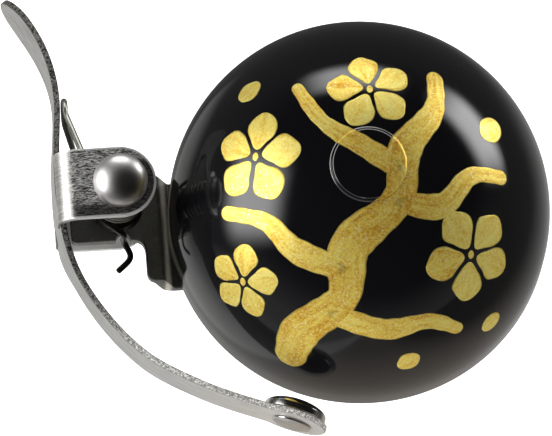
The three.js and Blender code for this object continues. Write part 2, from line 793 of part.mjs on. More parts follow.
// The wire's centre line, from the hooked lower end to the upper end
function springPoints() {
  const apex = new THREE.Vector2(-STANDOFF + WAIST_INSET + LEVER_T + LOOSE_GAP + WIRE_R, HAIRPIN_REACH);
  const leaveDeg = THREE.MathUtils.radToDeg(apex.angle() + Math.acos(COIL_R / apex.length()));
  const low = tongueTop + LOOSE_GAP + WIRE_R;
  const top = upperEarUnder - UPPER_ROOM - WIRE_R;

  // Hairpin: each leg leaves its coil level and meets a half turn that lies against the lever
  const leave = onCoil(leaveDeg);
  const clear = apex.clone().sub(leave).setLength(LEG_LEVEL).add(leave);
  const bend = arcPoints(0, 0, HAIRPIN_R, -90, 90, HAIRPIN_STEPS);
  const halfTurn = bend.map(([x, y]) => new THREE.Vector3(apex.x, apex.y + x, leverMid + y));

  // Lower coil, climbing to its free end, which drops through the notch and hooks outwards
  const [notch, corner, tip] = HOOK.map(([x, y]) => new THREE.Vector2(x, y));
  const hookDeg = THREE.MathUtils.radToDeg(notch.angle() - Math.acos(COIL_R / notch.length()));
  const lower = coilPoints(leaveDeg, hookDeg, LOWER_TURNS, low, COIL_PITCH);
  const sunk = low - HOOK_SINK;
  const out = corner.clone().sub(notch).normalize();
  const foot = arcPoints(HOOK_BEND_R, HOOK_BEND_R, HOOK_BEND_R, 180, 270, TAIL_STEPS);
  const hook = [
    ...dropPoints(lower.at(-1), notch, sunk + HOOK_BEND_R).slice(0, -1),
    ...foot.map(([x, y]) => atHeight(notch.clone().addScaledVector(out, x), sunk + y)),
    atHeight(corner.clone().lerp(notch, HOOK_CORNER), sunk),
    atHeight(corner.clone().lerp(tip, HOOK_CORNER), sunk),
    atHeight(tip, sunk),
  ];

  // Upper coil, coming down to its free end, which drops into its own notch
  const upper = coilPoints(leaveDeg, UPPER_END_DEG, UPPER_TURNS, top, -COIL_PITCH);
  const tail = dropPoints(upper.at(-1), springTail(), tongueUnder + LOOSE_GAP);
  const points = [
    ...hook.reverse(),
    ...lower.reverse(),
    atHeight(clear, low),
    ...halfTurn,
    atHeight(clear, top),
    ...upper,
    ...tail,
  ];
  return points.map((p) => p.add(new THREE.Vector3(PIVOT.x, PIVOT.y, 0)));
}

// One unbroken tube of five-sided sections carried along the points without twisting
function wireGeometry(points) {
  const count = points.length;
  const along = points.map((p, i) =>
    new THREE.Vector3()
      .subVectors(points[Math.min(i + 1, count - 1)], points[Math.max(i - 1, 0)])
      .normalize(),
  );
  const side = new THREE.Vector3(0, 0, 1).cross(along[0]).normalize();
  const positions = [];
  points.forEach((p, i) => {
    side.addScaledVector(along[i], -side.dot(along[i])).normalize();
    const other = new THREE.Vector3().crossVectors(along[i], side);
    for (let k = 0; k < WIRE_SIDES; k++) {
      const a = (2 * Math.PI * k) / WIRE_SIDES;
      const v = p.clone();
      v.addScaledVector(side, WIRE_R * Math.cos(a)).addScaledVector(other, WIRE_R * Math.sin(a));
      positions.push(v.x, v.y, v.z);
    }
  });
  const index = [];
  for (let i = 0; i + 1 < count; i++) {
    for (let k = 0; k < WIRE_SIDES; k++) {
      const a = WIRE_SIDES * i + k;
      const b = WIRE_SIDES * i + ((k + 1) % WIRE_SIDES);
      index.push(a, b, a + WIRE_SIDES, b, b + WIRE_SIDES, a + WIRE_SIDES);
    }
  }
  const last = WIRE_SIDES * (count - 1);
  for (let k = 1; k + 1 < WIRE_SIDES; k++) {
    index.push(0, k + 1, k);
    index.push(last, last + k, last + k + 1);
  }
  const geometry = new THREE.BufferGeometry();
  geometry.setAttribute("position", new THREE.Float32BufferAttribute(positions, 3));
  geometry.setIndex(index);
  return geometry;
}

// The least gap between two stretches of the wire that are more than three diameters apart along it
function leastGap(points) {
  const fine = [];
  let run = 0;
  for (let i = 0; i + 1 < points.length; i++) {
    const length = points[i].distanceTo(points[i + 1]);
    const steps = Math.max(1, Math.ceil(length / (WIRE_R / 2)));
    for (let k = 0; k < steps; k++) {
      fine.push({ at: run + (length * k) / steps, p: points[i].clone().lerp(points[i + 1], k / steps) });
    }
    run += length;
  }
  let least = Infinity;
  for (let i = 0; i < fine.length; i++) {
    for (let j = i + 1; j < fine.length; j++) {
      if (fine[j].at - fine[i].at < APART) continue;
      least = Math.min(least, fine[i].p.distanceTo(fine[j].p));
    }
  }
  return least - 2 * WIRE_R;
}

const wirePoints = springPoints();
console.log("least gap of the spring to itself " + leastGap(wirePoints).toFixed(3) + " mm");

place("bell_dome", domeGeometry(), "lacquer");
place("dome_boss", bossGeometry(), "zinc");
place("centre_post", postGeometry(), "zinc");
place("lock_washer", lockWasherGeometry(), "zinc");
place("mount_screw", mountScrewGeometry(), "zinc");
place("bracket", bracketGeometry(), "darkSteel");
place("clamp_band", bandGeometry(), "darkSteel");
place("bar_liner", linerGeometry(), "rubber");
place("clamp_screw", clampScrewGeometry(), "zinc");
place("clamp_washer", clampWasherGeometry(), "zinc");
place("clamp_nut", clampNutGeometry(), "zinc");
place("lever", leverGeometry(), "steel");
place("hammer", hammerGeometry(), "nickel");
place("pivot_rivet", rivetGeometry(), "nickel");
place("pivot_sleeve", sleeveGeometry(), "zinc");
place("pivot_washer", pivotWasherGeometry(), "nylon");
place("lever_spring", wireGeometry(wirePoints), "darkSteel");

export default assembly;
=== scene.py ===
"""Looks of a lever-struck handlebar bell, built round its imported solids.

Every size below is in millimetres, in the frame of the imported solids: the origin is the middle of the
handlebar, +Z the dome's axis, the lever stands on the -X side. Meshes are written in metres.
"""

import logging
import math
from dataclasses import dataclass, field
from enum import Enum
from typing import Sequence

import bmesh
import bpy
import numpy as np
from bpy.types import ID, Material, NodeSocket, Object
from mathutils import Matrix


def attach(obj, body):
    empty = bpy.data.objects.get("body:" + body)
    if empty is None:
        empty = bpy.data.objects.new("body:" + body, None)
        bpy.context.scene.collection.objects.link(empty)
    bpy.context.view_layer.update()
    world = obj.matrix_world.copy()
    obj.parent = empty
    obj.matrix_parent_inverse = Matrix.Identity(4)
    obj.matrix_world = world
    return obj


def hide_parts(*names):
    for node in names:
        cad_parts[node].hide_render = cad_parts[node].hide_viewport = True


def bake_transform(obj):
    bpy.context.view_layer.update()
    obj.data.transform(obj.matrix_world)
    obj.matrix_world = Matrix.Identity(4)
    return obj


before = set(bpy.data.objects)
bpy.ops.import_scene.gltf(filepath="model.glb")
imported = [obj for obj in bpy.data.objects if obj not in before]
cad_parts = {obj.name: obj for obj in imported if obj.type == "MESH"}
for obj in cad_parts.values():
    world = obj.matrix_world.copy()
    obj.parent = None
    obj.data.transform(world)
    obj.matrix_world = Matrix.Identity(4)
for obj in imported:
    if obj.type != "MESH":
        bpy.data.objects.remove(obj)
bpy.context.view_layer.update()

LOG = logging.getLogger("bell")
MM = 0.001
WELD_M, SLIVER_M = 2e-7, 1e-8
CENTRE_Z = 24.7
DOME_R = 27.5
CROWN_R = 5.5
PIVOT = (-34.7, 3.1)
MIDDLE_Z = 29.05
Array = np.ndarray


# Lines
def unit(ways: Array) -> Array:
    """Directions scaled to length 1."""
    return ways / np.linalg.norm(ways, axis=-1, keepdims=True)


def left(ways: Array) -> Array:
    """Flat directions turned a quarter to the left."""
    return np.stack([-ways[..., 1], ways[..., 0]], -1)


def run_of(line: Array) -> Array:
    """The way run along a line up to each of its points."""
    return np.concatenate([[0], np.cumsum(np.linalg.norm(np.diff(line, axis=0), axis=1))])


def sample(line: Array, run: Array, at: Array) -> Array:
    """The points of a line at given places of its run."""
    return np.stack([np.interp(at, run, line[:, k]) for k in range(line.shape[1])], -1)


def spokes(count: int) -> Array:
    """Unit vectors evenly spread round Z."""
    a = np.linspace(0, 2 * np.pi, count, endpoint=False)
    return np.stack([np.cos(a), np.sin(a), 0 * a], -1)


def arc(start: float, end: float, count: int) -> tuple[Array, Array]:
    """Cosines and sines of angles from start to end, in degrees."""
    a = np.radians(np.linspace(start, end, count))
    return np.cos(a), np.sin(a)


def smoothstep(low: float, high: float, x: Array) -> Array:
    """A smooth rise from 0 at low to 1 at high."""
    t = np.clip((x - low) / (high - low), 0, 1)
    return t * t * (3 - 2 * t)


def bent(start: Array, corner: Array, end: Array, steps: int) -> Array:
    """A quadratic curve from start to end, drawn towards the corner."""
    u = np.linspace(0, 1, steps + 1)[:, None]
    return (1 - u) ** 2 * start + 2 * u * (1 - u) * corner + u**2 * end


def rounded(corners: Sequence[tuple], steps: int = 6) -> Array:
    """An open line with rounded corners.

    Each corner is replaced by a quadratic curve from one tangent point to the other, at
    radius / tan(half the corner's angle) from the corner.

    Args:
        corners: (x, y, radius) of each corner; the ends keep their places.
        steps: of each rounding.

    Returns:
        The line's points.
    """
    table = np.array(corners, float)
    pts, radii = table[:, :2], table[:, 2]
    rows = [pts[:1]]
    for i in range(1, len(pts) - 1):
        back, on = unit(pts[i - 1] - pts[i]), unit(pts[i + 1] - pts[i])
        cut = radii[i] / math.tan(np.arccos(np.clip(back @ on, -1, 1)) / 2)
        curve = bent(pts[i] + back * cut, pts[i], pts[i] + on * cut, steps)
        rows.append(curve if radii[i] > 0 else pts[i : i + 1])
    return np.concatenate([*rows, pts[-1:]])


def resampled(line: Array, step: float) -> Array:
    """A line of points set again at even distances of about one step."""
    run = run_of(line)
    return sample(line, run, np.linspace(0, run[-1], max(2, int(round(run[-1] / step))) + 1))


def spline(points: Array, count: int) -> Array:
    """A smooth curve through points, evenly sampled (centripetal form, end tangents carried on).

    Args:
        points: points x dimensions.
        count: samples along the curve.

    Returns:
        The samples.
    """
    p = np.concatenate([[2 * points[0] - points[1]], points, [2 * points[-1] - points[-2]]])
    d = np.linalg.norm(np.diff(p, axis=0), axis=1) ** 0.5
    p0, p1, p2, p3 = p[:-3], p[1:-2], p[2:-1], p[3:]
    d0, d1, d2 = d[:-2, None], d[1:-1, None], d[2:, None]
    t1 = ((p1 - p0) / d0 - (p2 - p0) / (d0 + d1) + (p2 - p1) / d1) * d1
    t2 = ((p2 - p1) / d1 - (p3 - p1) / (d1 + d2) + (p3 - p2) / d2) * d1
    u = np.linspace(0, 1, 81)[None, :, None]
    cubic = (2 * u**3 - 3 * u**2 + 1) * p1[:, None] + (u**3 - 2 * u**2 + u) * t1[:, None]
    cubic = cubic + (-2 * u**3 + 3 * u**2) * p2[:, None] + (u**3 - u**2) * t2[:, None]
    fine = np.concatenate([cubic[:, :-1].reshape(-1, points.shape[1]), p2[-1:]])
    run = run_of(fine)
    return sample(fine, run, np.linspace(0, run[-1], count))


# Surfaces
@dataclass
class Surface:
    """Points, four-cornered faces, extra flat faces, and numbers carried by the points."""

    points: Array
    quads: Array
    flats: list = field(default_factory=list)
    marks: dict = field(default_factory=dict)


def weave(index: Array) -> Array:
    """The four-cornered faces of a grid of point numbers."""
    return np.stack([index[:-1, :-1], index[:-1, 1:], index[1:, 1:], index[1:, :-1]], -1).reshape(-1, 4)


def skin(rings: Array, cap: bool = False, loop: bool = False, marks: dict | None = None) -> Surface:
    """Joins closed rings of points into a tube: point k of one ring meets point k of the next.

    Args:
        rings: rings x points x 3.
        cap: close both ends with one flat face each.
        loop: join the last ring to the first.
        marks: numbers for the points, each to be spread over rings x points.

    Returns:
        The tube's surface.
    """
    shape = rings.shape[:2]
    index = np.arange(shape[0] * shape[1]).reshape(shape)
    quads = weave(np.pad(index, ((0, int(loop)), (0, 1)), mode="wrap"))
    flats = [index[0][::-1].tolist(), index[-1].tolist()] if cap else []
    kept = {name: np.broadcast_to(v, shape).astype(float).reshape(-1) for name, v in (marks or {}).items()}
    return Surface(rings.reshape(-1, 3), quads, flats, kept)


def patch(grid: Array) -> Surface:
    """An open grid of points, rows x columns x 3, to be welded to its neighbours."""
    index = np.arange(grid.shape[0] * grid.shape[1]).reshape(grid.shape[:2])
    return Surface(grid.reshape(-1, 3), weave(index))


def joined(parts: Sequence[Surface]) -> Surface:
    """Several surfaces as one.

    Args:
        parts: the surfaces.

    Returns:
        One surface with all their points and faces.
    """
    starts = np.cumsum([0] + [len(p.points) for p in parts[:-1]])
    flats = [[i + int(s) for i in f] for p, s in zip(parts, starts) for f in p.flats]
    names = {name for p in parts for name in p.marks}
    marks = {n: np.concatenate([p.marks.get(n, np.zeros(len(p.points))) for p in parts]) for n in names}
    points = np.concatenate([p.points for p in parts])
    return Surface(points, np.concatenate([p.quads + s for p, s in zip(parts, starts)]), flats, marks)


def lathe(profile: Array, segments: int = 96, place: tuple = (0.0, 0.0)) -> Surface:
    """A turned piece: every (radius, height) pair runs once round an upright axis at a place."""
    rings = profile[:, None, :1] * spokes(segments) + profile[:, None, 1:] * np.array([0, 0, 1.0])
    return skin(rings + np.array([*place, 0]), loop=bool(np.allclose(profile[0], profile[-1])))


def inward(outline: Array) -> Array:
    """The inward normals of a closed outline that runs anticlockwise."""
    return left(unit(np.roll(outline, -1, 0) - np.roll(outline, 1, 0)))


def quarter(radius: float, steps: int) -> tuple[Array, Array]:
    """The insets from the outline and the depths below the face of a rounded edge."""
    cos, sin = arc(0, 90, steps)
    return radius * (1 - sin), radius * (1 - cos)


def raised(outline: Array, low: float, high: float, edge: float) -> Surface:
    """A plate between two heights with rounded edges, from a closed anticlockwise outline.

    The outline is drawn in by each edge point's inset, and set at that point's height.

    Args:
        outline: points x 2.
        low: lower face.
        high: upper face.
        edge: radius of the edges.

    Returns:
        A closed surface with both faces flat.
    """
    inset, depth = quarter(edge, 4)
    insets = np.concatenate([inset, inset[::-1]])[:, None, None]
    heights = np.concatenate([low + depth, high - depth[::-1]])[:, None, None]
    flat = outline[None] + insets * inward(outline)[None]
    return skin(np.concatenate([flat, np.broadcast_to(heights, flat.shape[:2] + (1,))], -1), cap=True)


def tube(path: Array, radius: float, sides: int = 16) -> Surface:
    """A round wire along a path, with domed ends; its section is carried along without twisting.

    Args:
        path: points x 3.
        radius: of the wire.
        sides: points round it.

    Returns:
        The closed wire.
    """
    along = unit(np.gradient(path, axis=0))
    side = np.cross([0, 0, 1.0], along[0])
    frames = []
    for way in along:
        side = unit(side - way * (side @ way))
        frames.append(side)
    side = np.array(frames)
    other = np.cross(along, side)
    cos, sin = (part[:-1] for part in arc(0, 90, 5))
    set_in = (radius * (0.5 - 0.5 * cos))[:, None]
    reach = np.concatenate([sin, np.ones(len(path) - 2), sin[::-1]]) * radius
    ends = path[0] + along[0] * set_in, path[-1] - along[-1] * set_in[::-1]
    centre = np.concatenate([ends[0], path[1:-1], ends[1]])
    pick = np.pad(np.arange(len(path)), len(cos) - 1, mode="edge")
    spoke = spokes(sides)
    spread = side[pick][:, None] * spoke[:, :1] + other[pick][:, None] * spoke[:, 1:2]
    marks = {"along": run_of(centre)[:, None], "round": spoke[:, 1]}
    return skin(centre[:, None] + reach[:, None, None] * spread, marks=marks)


def piece(name: str, surface: Surface, sharp_deg: float) -> Object:
    """Makes a closed mesh object in metres: doubles merged, faces outward, shaded smooth up to an angle.

    Args:
        name: the object's name.
        surface: its surface in millimetres.
        sharp_deg: edges that turn by more stay sharp.

    Returns:
        The object, linked to the scene.
    """
    mesh = bpy.data.meshes.new(name)
    mesh.from_pydata((surface.points * MM).tolist(), [], surface.quads.tolist() + surface.flats)
    for mark, values in surface.marks.items():
        mesh.attributes.new(mark, "FLOAT", "POINT").data.foreach_set("value", values.astype(np.float32))
    shell = bmesh.new()
    shell.from_mesh(mesh)
    bmesh.ops.remove_doubles(shell, verts=shell.verts, dist=WELD_M)
    bmesh.ops.dissolve_degenerate(shell, edges=shell.edges, dist=SLIVER_M)
    bmesh.ops.recalc_face_normals(shell, faces=shell.faces)
    shell.to_mesh(mesh)
    shell.free()
    mesh.validate()
    mesh.shade_smooth()
    mesh.set_sharp_from_angle(angle=math.radians(sharp_deg))
    obj = bpy.data.objects.new(name, mesh)
    bpy.context.scene.collection.objects.link(obj)
    return obj


def carved(obj: Object, tool: Surface) -> None:
    """Cuts a closed tool surface out of an object, and keeps the result as its mesh.

    Args:
        obj: the object.
        tool: the closed surface to take away.
    """
    cutter = piece(obj.name + "_cutter", tool, 40)
    cut = obj.modifiers.new("cut", "BOOLEAN")
    cut.operation, cut.solver, cut.object = "DIFFERENCE", "EXACT", cutter
    mesh = bpy.data.meshes.new_from_object(obj.evaluated_get(bpy.context.evaluated_depsgraph_get()))
    obj.modifiers.clear()
    obj.data = mesh
    mesh.set_sharp_from_angle(angle=math.radians(40))
    bpy.data.objects.remove(cutter)


# Shader maths
class Value:
    """A socket of a shader; a number's socket is written into sums and products."""

    def __init__(self, shader: "Shader", socket: NodeSocket) -> None:
        """Keeps the shader and the socket."""
        self.shader, self.socket = shader, socket

    def _math(self, operation: str, *terms: object) -> "Value":
        """A Math node on the terms."""
        return self.shader.node("ShaderNodeMath", {"operation": operation}, dict(enumerate(terms)))

    def __add__(self, other: object) -> "Value":
        """self + other."""
        return self._math("ADD", self, other)

    def __radd__(self, other: object) -> "Value":
        """other + self."""
        return self._math("ADD", other, self)

    def __sub__(self, other: object) -> "Value":
        """self - other."""
        return self._math("SUBTRACT", self, other)

    def __rsub__(self, other: object) -> "Value":
        """other - self."""
        return self._math("SUBTRACT", other, self)

    def __mul__(self, other: object) -> "Value":
        """self * other."""
        return self._math("MULTIPLY", self, other)

    def __rmul__(self, other: object) -> "Value":
        """other * self."""
        return self._math("MULTIPLY", other, self)

    def above_zero(self) -> "Value":
        """The value, not below 0."""
        return self._math("MAXIMUM", self, 0.0)

    def clamped(self) -> "Value":
        """The value held between 0 and 1."""
        return self._math("MINIMUM", self.above_zero(), 1.0)

    def span(
        self, low: float, high: float, to_low: float = 0.0, to_high: float = 1.0, ease: str = "SMOOTHSTEP"
    ) -> "Value":
        """The value carried from one range to another with an easing, and held there."""
        terms = {"Value": self, "From Min": low, "From Max": high, "To Min": to_low, "To Max": to_high}
        return self.shader.node("ShaderNodeMapRange", {"interpolation_type": ease}, terms)


class Shader:
    """The node tree of a material, a lamp or the world."""

    def __init__(self, owner: ID) -> None:
        """Takes the owner's tree."""
        owner.use_nodes = True
        self.owner, self.tree = owner, owner.node_tree

    @classmethod
    def named(cls, name: str) -> "Shader":
        """The tree of a new material."""
        return cls(bpy.data.materials.new(name))

    def node(
        self, kind: str, settings: dict | None = None, terms: dict | None = None, out: object = 0
    ) -> Value:
        """Adds a node: its settings first, then its sockets.

        Args:
            kind: the node's type.
            settings: values set on the node; "stops" fills a colour ramp.
            terms: socket name or number to a value or a Value.
            out: the output socket to hand back.

        Returns:
            The output socket as a Value.
        """
        made = self.tree.nodes.new(kind)
        for key, value in (settings or {}).items():
            if key == "stops":
                elements = made.color_ramp.elements
                while len(elements) < len(value):
                    elements.new(1.0)
                for element, (at, colour) in zip(elements, value):
                    element.position, element.color = at, (*colour, 1.0)
            else:
                setattr(made, key, value)
        for key, value in (terms or {}).items():
            self.feed(made.inputs[key], value)
        return Value(self, made.outputs[out])

    def feed(self, socket: NodeSocket, value: object) -> None:
        """Links or sets one socket.

        Args:
            socket: the socket to fill.
            value: a Value, a number or a colour.
        """
        if isinstance(value, Value):
            self.tree.links.new(value.socket, socket)
        elif isinstance(value, tuple) and socket.type == "RGBA":
            socket.default_value = (*value, 1.0)
        else:
            socket.default_value = value

    def place(self, scale: tuple = (1.0, 1.0, 1.0), turn: tuple = (0.0, 0.0, 0.0)) -> Value:
        """Object coordinates in millimetres, turned and then stretched.

        Args:
            scale: the stretch along each axis.
            turn: radians about each axis.

        Returns:
            The coordinates.
        """
        terms = {"Vector": self.node("ShaderNodeTexCoord", out="Object"), "Rotation": turn}
        terms = {"Vector": self.node("ShaderNodeMapping", None, terms), "Scale": tuple(s / MM for s in scale)}
        return self.node("ShaderNodeMapping", None, terms)

    def split(self, where: Value) -> list[Value]:
        """The x, y and z of coordinates."""
        outputs = self.node("ShaderNodeSeparateXYZ", None, {"Vector": where}).socket.node.outputs
        return [Value(self, outputs[axis]) for axis in "XYZ"]

    def lane(self, x: Value, y: Value, z: object = 0.0) -> Value:
        """Coordinates put together from three numbers."""
        return self.node("ShaderNodeCombineXYZ", None, {"X": x, "Y": y, "Z": z})

    def mark(self, name: str) -> Value:
        """A number carried by the mesh's points."""
        return self.node("ShaderNodeAttribute", {"attribute_name": name}, out="Fac")

    def noise(
        self, where: Value, scale: float, detail: float = 3, rough: float = 0.5, warp: float = 0
    ) -> Value:
        """Cloudy noise from 0 to 1: cells per unit, octaves, share of the finer octaves and distortion."""
        terms = {"Vector": where, "Scale": scale, "Detail": detail, "Roughness": rough, "Distortion": warp}
        return self.node("ShaderNodeTexNoise", None, terms)

    def grains(self, where: Value, scale: float) -> Value:
        """One random number per small cell."""
        cell = self.node("ShaderNodeTexVoronoi", None, {"Vector": where, "Scale": scale}, out="Color")
        return self.node("ShaderNodeSeparateColor", None, {"Color": cell})

    def apart(self, where: Value, x0: float = 0.0, y0: float = 0.0) -> Value:
        """The squared distance from an upright axis."""
        x, y, _ = self.split(where)
        return (x - x0) * (x - x0) + (y - y0) * (y - y0)

    def ring(self, where: Value, radius: float, half: float) -> Value:
        """A thin circle round Z, of a given half width: 1 on its line, 0 beside it."""
        out = self.apart(where)
        return out.span((radius - half) ** 2, radius**2) * (1 - out.span(radius**2, (radius + half) ** 2))

    def ramp(self, value: Value, *stops: tuple) -> Value:
        """A colour for each value, by stops of (place, colour)."""
        return self.node("ShaderNodeValToRGB", {"stops": stops}, {"Fac": value})

    def blend(self, share: object, first: object, second: object) -> Value:
        """A colour between two colours: share 0 gives the first, 1 the second."""
        terms = {"Factor": share, 6: first, 7: second}
        return self.node("ShaderNodeMix", {"data_type": "RGBA"}, terms, 2)

    def bump(self, height: Value, strength: float, depth: float, under: Value | None = None) -> Value:
        """A normal bumped by a height from 0 to 1, on top of another normal."""
        terms = {"Height": height, "Strength": strength, "Distance": depth * MM}
        return self.node("ShaderNodeBump", None, terms | ({"Normal": under} if under else {}))

    def finish(self, **sockets: object) -> Material:
        """Fills the Principled shader's sockets; underscores stand for spaces.

        Args:
            sockets: what each takes.

        Returns:
            The material.
        """
        for name, value in sockets.items():
            self.feed(self.tree.nodes["Principled BSDF"].inputs[name.replace("_", " ")], value)
        return self.owner


# Finishes
@dataclass(frozen=True)
class Lacquer:
    """Deep gloss black lacquer, satin inside the dome, with pale rings along the crown's lip as a painted
    highlight.
    """

    colour: tuple = (0.0035, 0.0035, 0.0042)
    dust_and_painted_light: tuple = (0.02, 0.02, 0.022)
    painted_highlight: tuple = (0.62, 0.6, 0.58)
    inner_r: float = 27.0
    inner_soft: float = 0.2
    gloss: float = 0.085
    lip_in: float = 5.08
    lip_half: float = 0.08

    def material(self) -> Material:
        """Faint orange peel and a little dust over a clear gloss.

        Returns:
            The material.
        """
        s = Shader.named("lacquer")
        where = s.place()
        centre = {0: where, 1: (0, 0, CENTRE_Z)}
        centred = s.node("ShaderNodeVectorMath", {"operation": "SUBTRACT"}, centre)
        far = s.node("ShaderNodeVectorMath", {"operation": "LENGTH"}, {0: centred}, out="Value")
        inside = 1 - far.span(self.inner_r - self.inner_soft, self.inner_r + self.inner_soft)
        smears = s.noise(where, 0.09, 4, 0.6, 1.2).span(0.45, 0.75)
        dust = s.noise(where, 3.2, 2).span(0.74, 0.8)
        # painted highlight: pale rings along the crown's lip stand in for the light lines on its step
        lip = s.ring(where, CROWN_R, self.lip_half) + s.ring(where, self.lip_in, self.lip_half) * 0.8
        highlight_band = lip * (s.noise(where, 0.22, 2).span(0.44, 0.6) * 0.6 + 0.12) * (1 - inside)
        colour = s.blend(dust * 0.25, self.colour, self.dust_and_painted_light)
        colour = s.blend(highlight_band.clamped(), colour, self.painted_highlight)
        rough = self.gloss + smears * 0.03 + dust * 0.1 + inside * 0.3
        normal = s.bump(s.noise(where, 0.42, 2), 0.12, 0.05)
        return s.finish(Base_Color=colour, Roughness=rough, Normal=normal, IOR=1.52, Metallic=0.0)


@dataclass(frozen=True)
class GoldPaint:
    """Brushed-on gold paint with a metal grain, its tone set for each stroke and varied at random: yellow on
    the blossoms as painted light, brown on the wood as painted shade.
    """

    tones: tuple = (
        (0.16, (0.46, 0.19, 0.015)),
        (0.34, (0.7, 0.38, 0.035)),
        (0.52, (0.87, 0.64, 0.11)),
        (0.76, (0.96, 0.83, 0.22)),
    )
    spark: tuple = (1.0, 0.95, 0.62)
    olive: tuple = (0.17, 0.14, 0.035)
    lip: tuple = (0.16, 0.12, 0.05)
    lip_half: float = 0.09
    metal: float = 0.68

    def material(self) -> Material:
        """Streaks run along each stroke; flakes glitter; the rim of a stroke is olive.

        Returns:
            The material.
        """
        s = Shader.named("gold_paint")
        where = s.place()
        along, across, load = s.mark("along"), s.mark("across"), s.mark("load")
        streaks = s.noise(s.lane(along * 0.16, across * 2.2, load * 7.0), 1.0, 4, 0.62, 0.6)
        pools = s.noise(where, 0.13, 3, 0.55, 0.8)
        flakes, sparks = s.grains(where, 4.4), s.grains(where, 5.6)
        # partly painted light and shade: each stroke's tone number lightens the blossoms and browns the wood;
        # streaks, pools and flakes vary it at random
        body = streaks * 0.85 + pools * 0.45 + load * 0.35 + flakes * 0.22 - 0.4
        glitter = sparks.span(0.9, 0.99)
        colour = s.blend(glitter * 0.6, s.ramp(body, *self.tones), self.spark)
        colour = s.blend((across * across).span(0.8, 0.97) * 0.65, colour, self.olive)
        # painted shade: a dark line on the paint along the crown's lip
        colour = s.blend(s.ring(where, CROWN_R, self.lip_half) * 0.55, colour, self.lip)
        rough = 0.46 - body * 0.1 + flakes * 0.12 - glitter * 0.12
        normal = s.bump(streaks * 0.5 + flakes * 0.5, 0.32, 0.035)
        return s.finish(Base_Color=colour, Roughness=rough, Metallic=self.metal, Normal=normal)


@dataclass(frozen=True)
class BrushedSteel:
    """Steel sheet brushed along X on its ears and along its length, with sheared edges."""

    tint: tuple = (0.5, 0.49, 0.47)
    dull: tuple = (0.34, 0.336, 0.32)
    bright: tuple = (0.84, 0.825, 0.8)
    brushing: tuple = ((0.45, (0.04, 0.037, 0.032)), (0.5, (0.42, 0.41, 0.385)), (0.545, (1.0, 0.99, 0.96)))
    painted_light_low_ear: tuple = (0.99, 0.98, 0.94)
    painted_shade_colour: tuple = (0.025, 0.024, 0.022)
    rim: tuple = (0.95, 0.94, 0.92)
    dark_cut: tuple = ((0.022, 0.021, 0.019), (0.3, 0.295, 0.28))
    pale_cut: tuple = ((0.3, 0.29, 0.27), (0.98, 0.97, 0.93))
    ear_edge_highlight: tuple = (0.9, 0.89, 0.86)
    painted_edge_shade: tuple = (0.03, 0.03, 0.028)
    ear_r: float = 5.15
    neck: tuple = (30.0, 44.0)
    fresh: tuple = (42.0, 62.0)
    limb: tuple = (48.0, 84.0)
    painted_light_z: tuple = (21.0, 24.0)
    shade_edge: tuple = (-3.9, -2.1)
    shade_right: tuple = (0.6, 2.6)
    shade_end: tuple = (2.2, 4.2)
    highlight_w: tuple = (0.42, 0.28)
    metal: float = 0.78

    def material(self) -> Material:
        """Fine wavy brushing in colour, roughness and bump; edges speckled by the shear. Painted light on the
        lower ear, painted highlights round the ears' edges, painted shade on the upper ear and along the
        strip's edges.

        Returns:
            The material.
        """
        s = Shader.named("brushed_steel")
        flat, edge, along, up = (s.mark(name) for name in ("ear", "edge", "along", "up"))
        wavy = s.noise(s.place((1.0, 4.6, 4.6)), 1.0, 4, 0.66, 1.4)
        fine = s.noise(s.place((1.2, 16.0, 16.0)), 1.0, 2, 0.6, 0.5)
        strip = s.noise(s.lane(along * 0.22, up * 4.5), 1.0, 5, 0.65, 0.6)
        grain = flat * wavy + (1 - flat) * strip
        shear = s.noise(s.place(), 3.0, 4, 0.8, 0.2).span(0.44, 0.58)
        face = s.ramp(grain * 0.8 + fine * 0.2, *self.brushing)
        plain = flat.span(0.9, 1.0)
        fresh = along.span(*self.fresh) * (1 - flat)
        arm = s.blend(along.span(*self.limb), self.dull, self.bright)
        tint = s.blend((flat + 1 - along.span(*self.neck)).clamped(), arm, self.tint)
        base = s.blend(plain * 0.7 + 0.3 - (1 - plain) * along.span(*self.neck) * 0.12, tint, face)
        x, y, z = s.split(s.place())
        # painted light: the lower ear, shaded under the upper ear and the tongue, is lightened and made less
        # metallic
        lower = (1 - z.span(*self.painted_light_z)) * flat
        base = s.blend(lower * 0.95, base, self.painted_light_low_ear)
        # painted reflection: the upper ear is darkened along its lower edge and right of the rivet
        right, across = (x - PIVOT[0]).above_zero(), y - PIVOT[1]
        beside = right.span(*self.shade_right) * (1 - across.span(*self.shade_end))
        painted_shade = 1 - across.span(*self.shade_edge) + beside
        base = s.blend(painted_shade.clamped() * plain * (1 - lower) * 0.85, base, self.painted_shade_colour)
        # painted highlight: a pale ring just inside the ear's rounded edge
        reach = right * right + across * across
        rim = reach.span(*((self.ear_r - w) ** 2 for w in self.highlight_w)) * flat
        base = s.blend(rim * 0.9, base, self.rim)
        sheared = s.blend(shear, s.blend(fresh, *self.dark_cut), s.blend(fresh, *self.pale_cut))
        # painted highlight: the ears' sheared edges are pale
        colour = s.blend(edge, base, s.blend(flat, sheared, self.ear_edge_highlight))
        # painted shade: a dark line along the strip's sheared edges, where their rounding mirrors dark
        painted_edge_shade = edge.span(0.1, 0.3) * (1 - edge.span(0.5, 0.8)) * (1 - flat)
        colour = s.blend(painted_edge_shade * 0.7, colour, self.painted_edge_shade)
        rough = 0.34 + grain * 0.14 + edge * 0.08
        normal = s.bump(shear * edge, 0.7, 0.12, s.bump(grain, 0.16, 0.02))
        metal = self.metal - lower * self.metal - edge * fresh * 0.6
        return s.finish(Base_Color=colour, Roughness=rough, Metallic=metal, Normal=normal)


